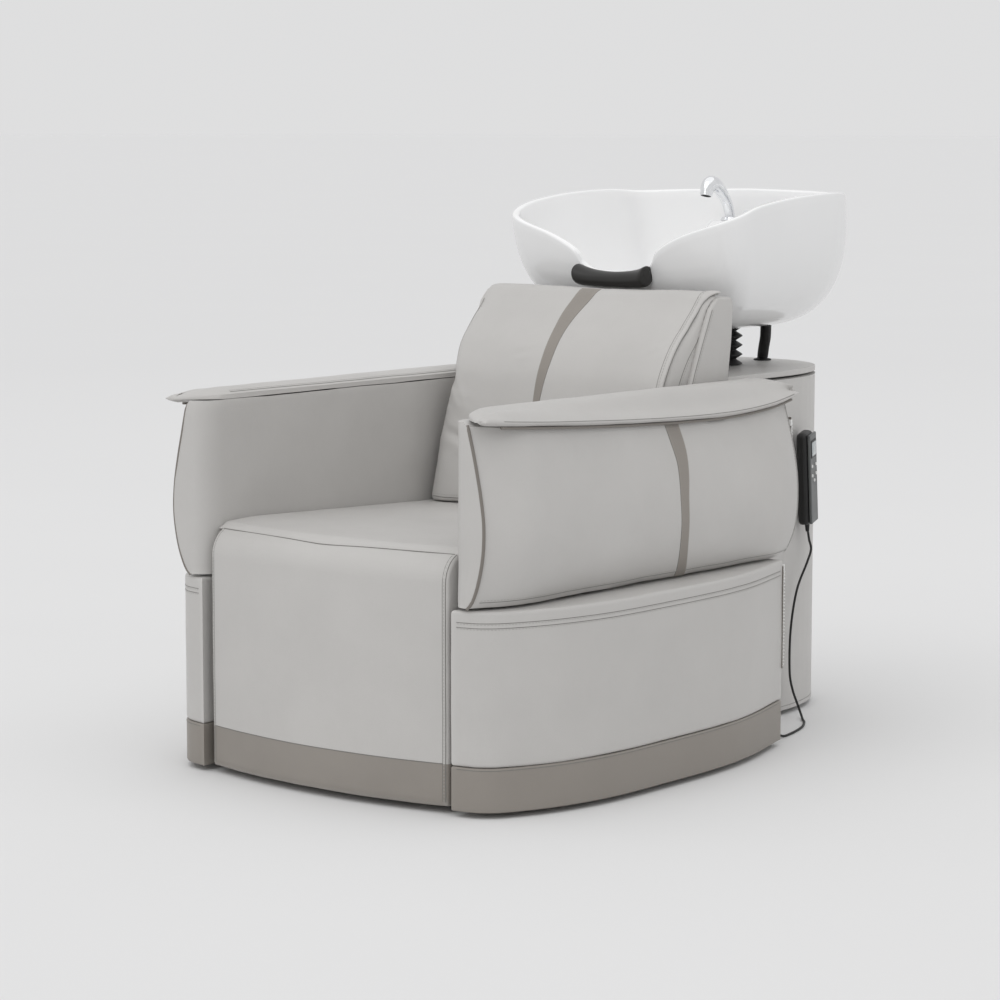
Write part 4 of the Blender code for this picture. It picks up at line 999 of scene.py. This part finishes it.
def arm_creases(arm, side):
    for y0, t0, y1, t1, depth in ((0.2, 0.96, 0.24, 0.8, 0.0016), (0.36, 0.97, 0.33, 0.82, 0.0014),
                                  (0.6, 0.95, 0.64, 0.78, 0.0016), (0.75, 0.96, 0.72, 0.7, 0.0016),
                                  (0.05, 0.75, 0.12, 0.55, 0.0014), (0.56, 0.1, 0.63, 0.22, 0.0012)):
        crease(arm, on_arm(side, y0, t0), on_arm(side, y1, t1), depth, 0.011)


def make_pad(word, side):
    stations = pad_stations()
    pad = loft(f"arm_pad_{word}", [pad_ring(y, side) for y in stations], "leather", 55)
    undulate(pad, 0.0009, 0.08, 5.0 + side)
    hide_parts(f"arm_top_{word}")
    ride(pad)
    tree = surface(pad)
    inside = [y for y in stations if 0.022 < y < 0.85]
    under = [(side * (lip_line(y) - 0.0075), y, lip_height(y) - 0.0082) for y in inside]
    ride(tube(f"pad_piping_{word}", even(under, 0.008), 0.0025, "piping", 10))
    lip = [(side * (lip_line(y) + 0.0005), y, lip_height(y) + 0.003) for y in inside]
    seam(f"pad_lip_seam_{word}", tree, lip, 0.0006)
    inner = [(side * (ARM_X + 0.004), y, PAD_UNDER + 0.013) for y in inside if 0.06 < y < 0.81]
    seam(f"pad_inner_seam_{word}", tree, inner, 0.0007, 0.004, (side, 0, 0.3))


# ---- skirts and pedestal


def skirt_plan(side):
    """The skirt's outer line in plan, and the closed outline with its flat rear and inner side."""
    corner = [(0.278, -0.003), (0.3, 0.0), (0.329, 0.01), (0.359, 0.042), (0.398, 0.13)]
    walls = [(0.421, 0.245), (0.426, 0.389), (0.424, 0.548), (0.408, 0.665), (0.368, 0.813)]
    plan = even(smooth_path([*corner, *walls], 10), 0.01)
    closed = [*plan, *even([(0.368, 0.813), (0.278, 0.813), (0.278, -0.003)], 0.012)[1:-1]]
    return plan, [(side * x, y) for x, y in closed]


def make_skirts():
    for word, side in SIDES:
        plan, outline = skirt_plan(side)
        skirt = rounded_prism(f"skirt_cover_{word}", outline, 0.0836, 0.338, 0.006, "Z", "leather", 22)
        undulate(skirt, 0.0009, 0.12, 3.0 + side)
        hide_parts(f"skirt_{word}")
        ride(skirt)
        band = rounded_prism(f"skirt_hem_{word}", outline, 0.01, 0.0832, 0.003, "Z", "taupe", 4)
        undulate(band, 0.0004, 0.12, 3.0 + side)
        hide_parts(f"skirt_band_{word}")
        ride(band)
        tree, band_tree = surface(skirt), surface(band)
        around = [(side * x, y, 0) for x, y in plan[1:-1]]
        for number, height in enumerate((0.3165, 0.3085)):
            line = laid(tree, even([(x, y, height) for x, y, _ in around], 0.01), 0.0001)
            ride(stitches(f"skirt_stitches_{number}_{word}", line))
            above = [(x, y, height + 0.0022) for x, y, _ in around]
            seam(f"skirt_seam_{number}_{word}", tree, above, 0.0006)
        seam(f"hem_seam_{word}", band_tree, [(x, y, 0.0795) for x, y, _ in around], 0.0006)


PED_HALF, PED_FRONT, PED_ROUND, PED_BACK = 0.215, 0.8145, 1.000, 1.29


def pedestal_outline():
    power = 2 / 2.6
    right = [(PED_HALF, PED_FRONT + 0.0185 * k) for k in range(10)]
    for a in quarter(40):
        right.append((PED_HALF * cos(a) ** power, PED_ROUND + (PED_BACK - PED_ROUND) * sin(a) ** power))
    left = [(-x, y) for x, y in reversed(right[:-1])]
    outline = even([*right, *left], 0.009)
    outline += [(-PED_HALF + 0.0215 * k, PED_FRONT) for k in range(1, 20)]
    return outline


def make_pedestal():
    top = rounded_prism("pedestal_top_cover", pedestal_outline(), 0.6435, 0.654, 0.0022, "Z", "leather", 2)
    undulate(top, 0.0003, 0.08, 6.0)
    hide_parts("pedestal_top")
    ride(top)
    shell_tree = surface(bpy.data.objects["pedestal_shell"])
    line = [(x, y) for x, y in pedestal_outline() if y > PED_FRONT + 0.006]
    for word, height, radius in (("top", 0.639, 0.0006), ("foot", 0.018, 0.0005)):
        seam(f"pedestal_{word}_seam", shell_tree, [(x, y, height) for x, y in line], radius)


# ---- basin and its fittings

RIM = [(0.0, 0.812, 0.838), (0.05, 0.808, 0.84), (0.078, 0.803, 0.851), (0.098, 0.797, 0.878),
       (0.15, 0.794, 0.904), (0.225, 0.799, 0.927), (0.262, 0.826, 0.943), (0.271, 0.88, 0.96),
       (0.274, 0.98, 0.973), (0.272, 1.08, 0.979), (0.264, 1.15, 0.98), (0.238, 1.2, 0.977),
       (0.15, 1.232, 0.98), (0.0, 1.243, 0.983)]
BOWL_Y, BOWL_FLOOR, BOWL_WALL, DRAIN_Y, DECK_TOP, DECK_FRONT = 1.05, 0.729, 0.014, 1.084, 0.926, 1.135


def rim_ring():
    half = smooth_path(RIM, 8)
    return half + [(-x, y, z) for x, y, z in reversed(half[1:-1])]


def basin_ring(depth, bottom, narrow, power):
    """The rim's outline drawn down to a share depth of the way to bottom, and in towards the drain."""
    scale = (1 - depth**power) ** (1 / power) if depth < 1 else 0.0
    scale = narrow + (1 - narrow) * scale
    middle = BOWL_Y + (DRAIN_Y - BOWL_Y) * depth
    return [(x * scale, middle + (y - BOWL_Y) * scale, z + (bottom - z) * depth) for x, y, z in rim_ring()]


def drawn_in(ring, wall, lift=0.0):
    """The ring moved in by the wall's thickness."""
    middle = sum(point[1] for point in ring) / len(ring)
    moved = []
    for x, y, z in ring:
        length = hypot(x, y - middle)
        moved.append((x - x / length * wall, y - (y - middle) / length * wall, z + lift))
    return moved


def make_basin():
    depths = [sin(a) for a in quarter(26)]
    outer = [basin_ring(d, BOWL_FLOOR, 0.3, 2.6) for d in depths]
    inner = [drawn_in(basin_ring(d, BOWL_FLOOR + BOWL_WALL, 0.34, 2.4), BOWL_WALL) for d in depths]
    half_turn = ramp(0, pi, 9)[1:-1]
    lip = [drawn_in(outer[0], BOWL_WALL / 2 * (1 - cos(a)), 0.0045 * sin(a)) for a in half_turn]
    bowl = loft("basin_bowl", [*reversed(outer), *lip, *inner], "glaze", 60)
    paint_light_inside_bowl(bowl)
    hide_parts("basin")
    ride(bowl, "basin")
    make_deck()
    make_neck_rest()
    make_bellows()
    make_hose()
    make_shower()


def make_neck_rest():
    rings = []
    for t in ramp(-1, 1, 40):
        size = (0.7 + 0.34 * abs(t) ** 1.6) * (1 - abs(t) ** 10 * 0.62)
        x, front, high = 0.08 * sin(pi / 2 * t), 0.797 - 0.006 * t * t, 0.827 + 0.013 * t * t
        rings.append([(x, front + 0.0265 * size * cos(a), high + 0.021 * size * sin(a)) for a in turns(40)])
    rest = loft("neck_cushion", rings, "gel", 60, 0.004)
    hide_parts("neck_rest")
    ride(rest, "basin")


def make_bellows():
    folds, pointed = 4, 0.97
    wave = []
    for t in ramp(0, 1, 96):
        swing = asin(pointed * cos(2 * pi * folds * t)) / asin(pointed)
        wave.append((0.069 + 0.0062 * swing, 0.656 + 0.071 * t))
    closed = [*wave, *[(r - 0.0018, z) for r, z in reversed(wave)]]
    bellows = lathe("bellows_sleeve", closed, DRAIN_Y, "rubber", 72)
    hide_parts("bellows")
    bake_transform(bellows)


def make_hose():
    path = [(0.08, 1.179, 0.74), (0.077, 1.183, 0.725), (0.064, 1.201, 0.703), (0.047, 1.221, 0.682),
            (0.035, 1.236, 0.668), (0.031, 1.24, 0.657), (0.031, 1.24, 0.642)]
    line = even(smooth_path(path, 8), 0.0012)
    ribs = [0.0101 + 0.0005 * cos(2 * pi * k / 3.0) for k in range(len(line))]
    hose = tube("water_hose_ribbed", line, ribs, "rubber", 24)
    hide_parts("water_hose")
    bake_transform(hose)


def paint_light_inside_bowl(bowl):
    """Painted light: the faces that look into the bowl get a lighter copy of the same glaze, for the light
    that falls inside it.
    """
    bowl.data.materials.append(MATERIALS["bowl"])
    middle = Vector(W((0, BOWL_Y, 1.3)))
    for face in bowl.data.polygons:
        if face.normal.dot((middle - face.center).normalized()) > 0.15:
            face.material_index = 1


def make_deck():
    """The tap ledge: a rounded tongue that swells out of the bowl's rear wall."""
    centre, half, rear = 0.03, 0.088, 1.225
    outline = []
    for a in ramp(0, pi, 48):
        across = copysign(abs(cos(a)) ** 0.8, cos(a))
        outline.append((centre + half * across, rear - (rear - DECK_FRONT) * max(sin(a), 0) ** 0.5))
    outline = even([*outline, outline[0]], 0.006)[:-1]
    rings = []
    for a in quarter(14):
        drop = 0.06 * (1 - sin(a))
        rings.append([(x, y, DECK_TOP - drop) for x, y in inset(outline, 0.016 * sin(a) ** 6 - 0.004)])
    # Painted light: the deck takes the lighter copy of the glaze.
    ride(loft("basin_deck", rings, "bowl", 70), "basin")


def make_shower():
    knots = [(1.168, 0.906), (1.168, 0.924), (1.168, 0.94), (1.159, 0.961), (1.143, 0.979), (1.124, 0.993),
             (1.106, 0.998), (1.094, 0.99), (1.089, 0.975)]
    sizes = [*[0.0096] * 4, 0.0098, 0.01, 0.0103, 0.0106, 0.0112, 0.012, 0.0134, 0.0146, 0.0152, 0.015,
             0.0138, 0.0122, 0.0116]
    path = smooth_path(knots, 8)
    radii = np.interp(np.linspace(0, 1, len(path)), np.linspace(0, 1, len(sizes)), sizes)
    rings = []
    for i, (y, z) in enumerate(path):
        (y0, z0), (y1, z1) = path[max(i - 1, 0)], path[min(i + 1, len(path) - 1)]
        length = hypot(y1 - y0, z1 - z0)
        ny, nz = -(z1 - z0) / length, (y1 - y0) / length
        circle = [(radii[i] * cos(a), radii[i] * sin(a)) for a in turns(40)]
        rings.append([(across, y + ny * up, z + nz * up) for across, up in circle])
    end = np.array(rings[-1])
    centre = end.mean(axis=0)
    back = np.array(rings[-2]).mean(axis=0) - centre
    back /= np.linalg.norm(back)
    mouth = [centre + (end - centre) * 0.86, centre + (end - centre) * 0.84 + back * 0.0045]
    head = loft("shower_head", [*rings, *mouth], "chrome", 50)
    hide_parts("hand_shower")
    ride(head, "shower")
    face = centre + back * 0.002
    side = np.array((1.0, 0.0, 0.0))
    other = np.cross(back, side)
    for number in range(7):
        turn = pi * number / 3
        reach = 0.0 if number == 6 else 0.0055
        spot = face + reach * (side * cos(turn) + other * sin(turn))
        ride(tube(f"nozzle_{number}", [spot, spot - back * 0.0012], 0.0009, "gel", 10), "shower")


# ---- handset, cord, zips

HANDSET = Matrix.LocRotScale(Vector((0.2315, 1.0975, 0.4505)), (Matrix.Rotation(radians(107), 3, "Z")
                             @ Matrix.Rotation(radians(-7.5), 3, "Y")).to_quaternion(), None)


def on_handset(x, y, z):
    return tuple(HANDSET @ Vector((x, y, z)))


def handset_plate(name, width, low, high, face, thick, material):
    """A thin plate with rounded corners on the handset's face, between two heights."""
    corner = 0.003
    outline = []
    for cx, cz, first in ((width / 2 - corner, high - corner, 0), (-width / 2 + corner, high - corner, 90),
                          (-width / 2 + corner, low + corner, 180), (width / 2 - corner, low + corner, 270)):
        corner_arc = [radians(first) + a for a in quarter(6)]
        outline += [(cx + corner * cos(a), cz + corner * sin(a)) for a in corner_arc]
    rings = []
    for depth, shrink in ((0.0, 0.0), (thick * 0.7, 0.0), (thick, 0.0004)):
        rings.append([on_handset(x, face - depth, z) for x, z in inset(outline, shrink)])
    return ride(loft(name, rings, material, 40), "handset")


def make_handset():
    handset_plate("handset_bezel", 0.033, 0.04, 0.074, -0.0139, 0.0011, "black")
    handset_plate("handset_window", 0.027, 0.044, 0.07, -0.0148, 0.0009, "window")


def cord_route():
    down = [(0.225, 1.1131, 0.3455), (0.2248, 1.1175, 0.33), (0.23, 1.1165, 0.312), (0.233, 1.098, 0.288),
            (0.2335, 1.064, 0.24), (0.2335, 1.045, 0.168), (0.236, 1.039, 0.092), (0.24, 1.043, 0.056)]
    floor = [(0.247, 1.052, 0.024), (0.256, 1.05, 0.007), (0.27, 1.034, 0.0027), (0.288, 1.012, 0.0027),
             (0.308, 0.976, 0.0027), (0.321, 0.938, 0.0027), (0.33, 0.9, 0.0027), (0.333, 0.874, 0.0034)]
    into_seat = [(0.329, 0.856, 0.011), (0.3215, 0.84, 0.025), (0.32, 0.8295, 0.03)]
    return smooth_path([*down, *floor, *into_seat], 6)


def make_cord():
    route = cord_route()
    cord = tube("handset_lead", route, 0.0022, "rubber", 14)
    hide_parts("handset_cord")
    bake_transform(cord)


def zip_teeth(name, x, y, low, high, side):
    """A zip's two rows of moulded teeth, meshed in the middle, on a woven tape."""
    verts, faces = [], []
    pitch = 0.0031
    for number in range(int((high - low) / pitch)):
        hand = 1 if number % 2 else -1
        z = low + pitch * number
        start = len(verts)
        for dy in (0.0, 0.0006):
            slope = 0.0003 if dy else 0.0
            for dx, dz in ((-0.0006, 0), (0.004, 0), (0.004, 0.0024), (-0.0006, 0.0024)):
                verts.append((x + hand * (dx - slope * (dx > 0)), y + dy, z + dz))
        cube = ((0, 1, 2, 3), (4, 7, 6, 5), (0, 4, 5, 1), (1, 5, 6, 2), (2, 6, 7, 3), (3, 7, 4, 0))
        faces += [tuple(start + v for v in face) for face in cube]
    ride(piece(name, verts, faces, "white", 30))
    inner, outer = x - side * 0.016, x + side * 0.0005
    tape = [(inner, y - 0.0002), (outer, y - 0.0002), (outer, y + 0.0004), (inner, y + 0.0004)]
    rings = [[(px, py, z) for px, py in tape] for z in (low - 0.004, high + 0.004)]
    ride(loft(f"{name}_tape", rings, "piping", 30))


def make_zips():
    for word, side in SIDES:
        zip_teeth(f"skirt_zip_{word}", side * 0.3702, 0.8128, 0.145, 0.322, side)
        zip_teeth(f"arm_zip_{word}", side * 0.356, 0.8535, 0.518, 0.586, side)


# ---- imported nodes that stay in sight

FINISHES = {
    "black": "actuator_body control_box drain_spigot handset_case spray_face",
    "zinc": "actuator_rod handset_hook legrest_crank legrest_pin_left legrest_pin_right",
    "steel": "base_frame tilt_bracket tilt_plate",
    "rubber": "cord_gland foot_front_left foot_front_right foot_rear_left foot_rear_right handset_relief"
              " hose_grommet",
    "chrome": "door_latch drain_strainer mixer_body mixer_cartridge mixer_lever shower_socket",
    "grey": "handset_face",
    "leather": "pedestal_shell rear_panel service_door",
    "ply": "seat_board",
    "white": "handset_button_1 handset_button_2 handset_button_3 handset_button_4 handset_button_5"
             " arm_zip_slider_left arm_zip_slider_right skirt_zip_slider_left skirt_zip_slider_right",
}
SOFTENED = {"pedestal_shell": 0.002, "rear_panel": 0.002, "service_door": 0.0016, "base_frame": 0.0012,
            "control_box": 0.0015, "seat_board": 0.001}


def finish_nodes():
    for material, names in FINISHES.items():
        for name in names.split():
            node = bpy.data.objects[name]
            node.data.materials.clear()
            node.data.materials.append(MATERIALS[material])
            node.modifiers.new("weld", "WELD").merge_threshold = 0.00002
            bevel = node.modifiers.new("edges", "BEVEL")
            bevel.width, bevel.segments = SOFTENED.get(name, 0.0004), 3
            bevel.limit_method, bevel.angle_limit = "ANGLE", radians(38)


# ---- build

make_camera()
make_light()
make_cord()
make_floor()
finish_nodes()
make_back()
make_shell()
make_legrest()
make_seat()
make_arms()
make_skirts()
make_pedestal()
make_basin()
make_handset()
make_zips()
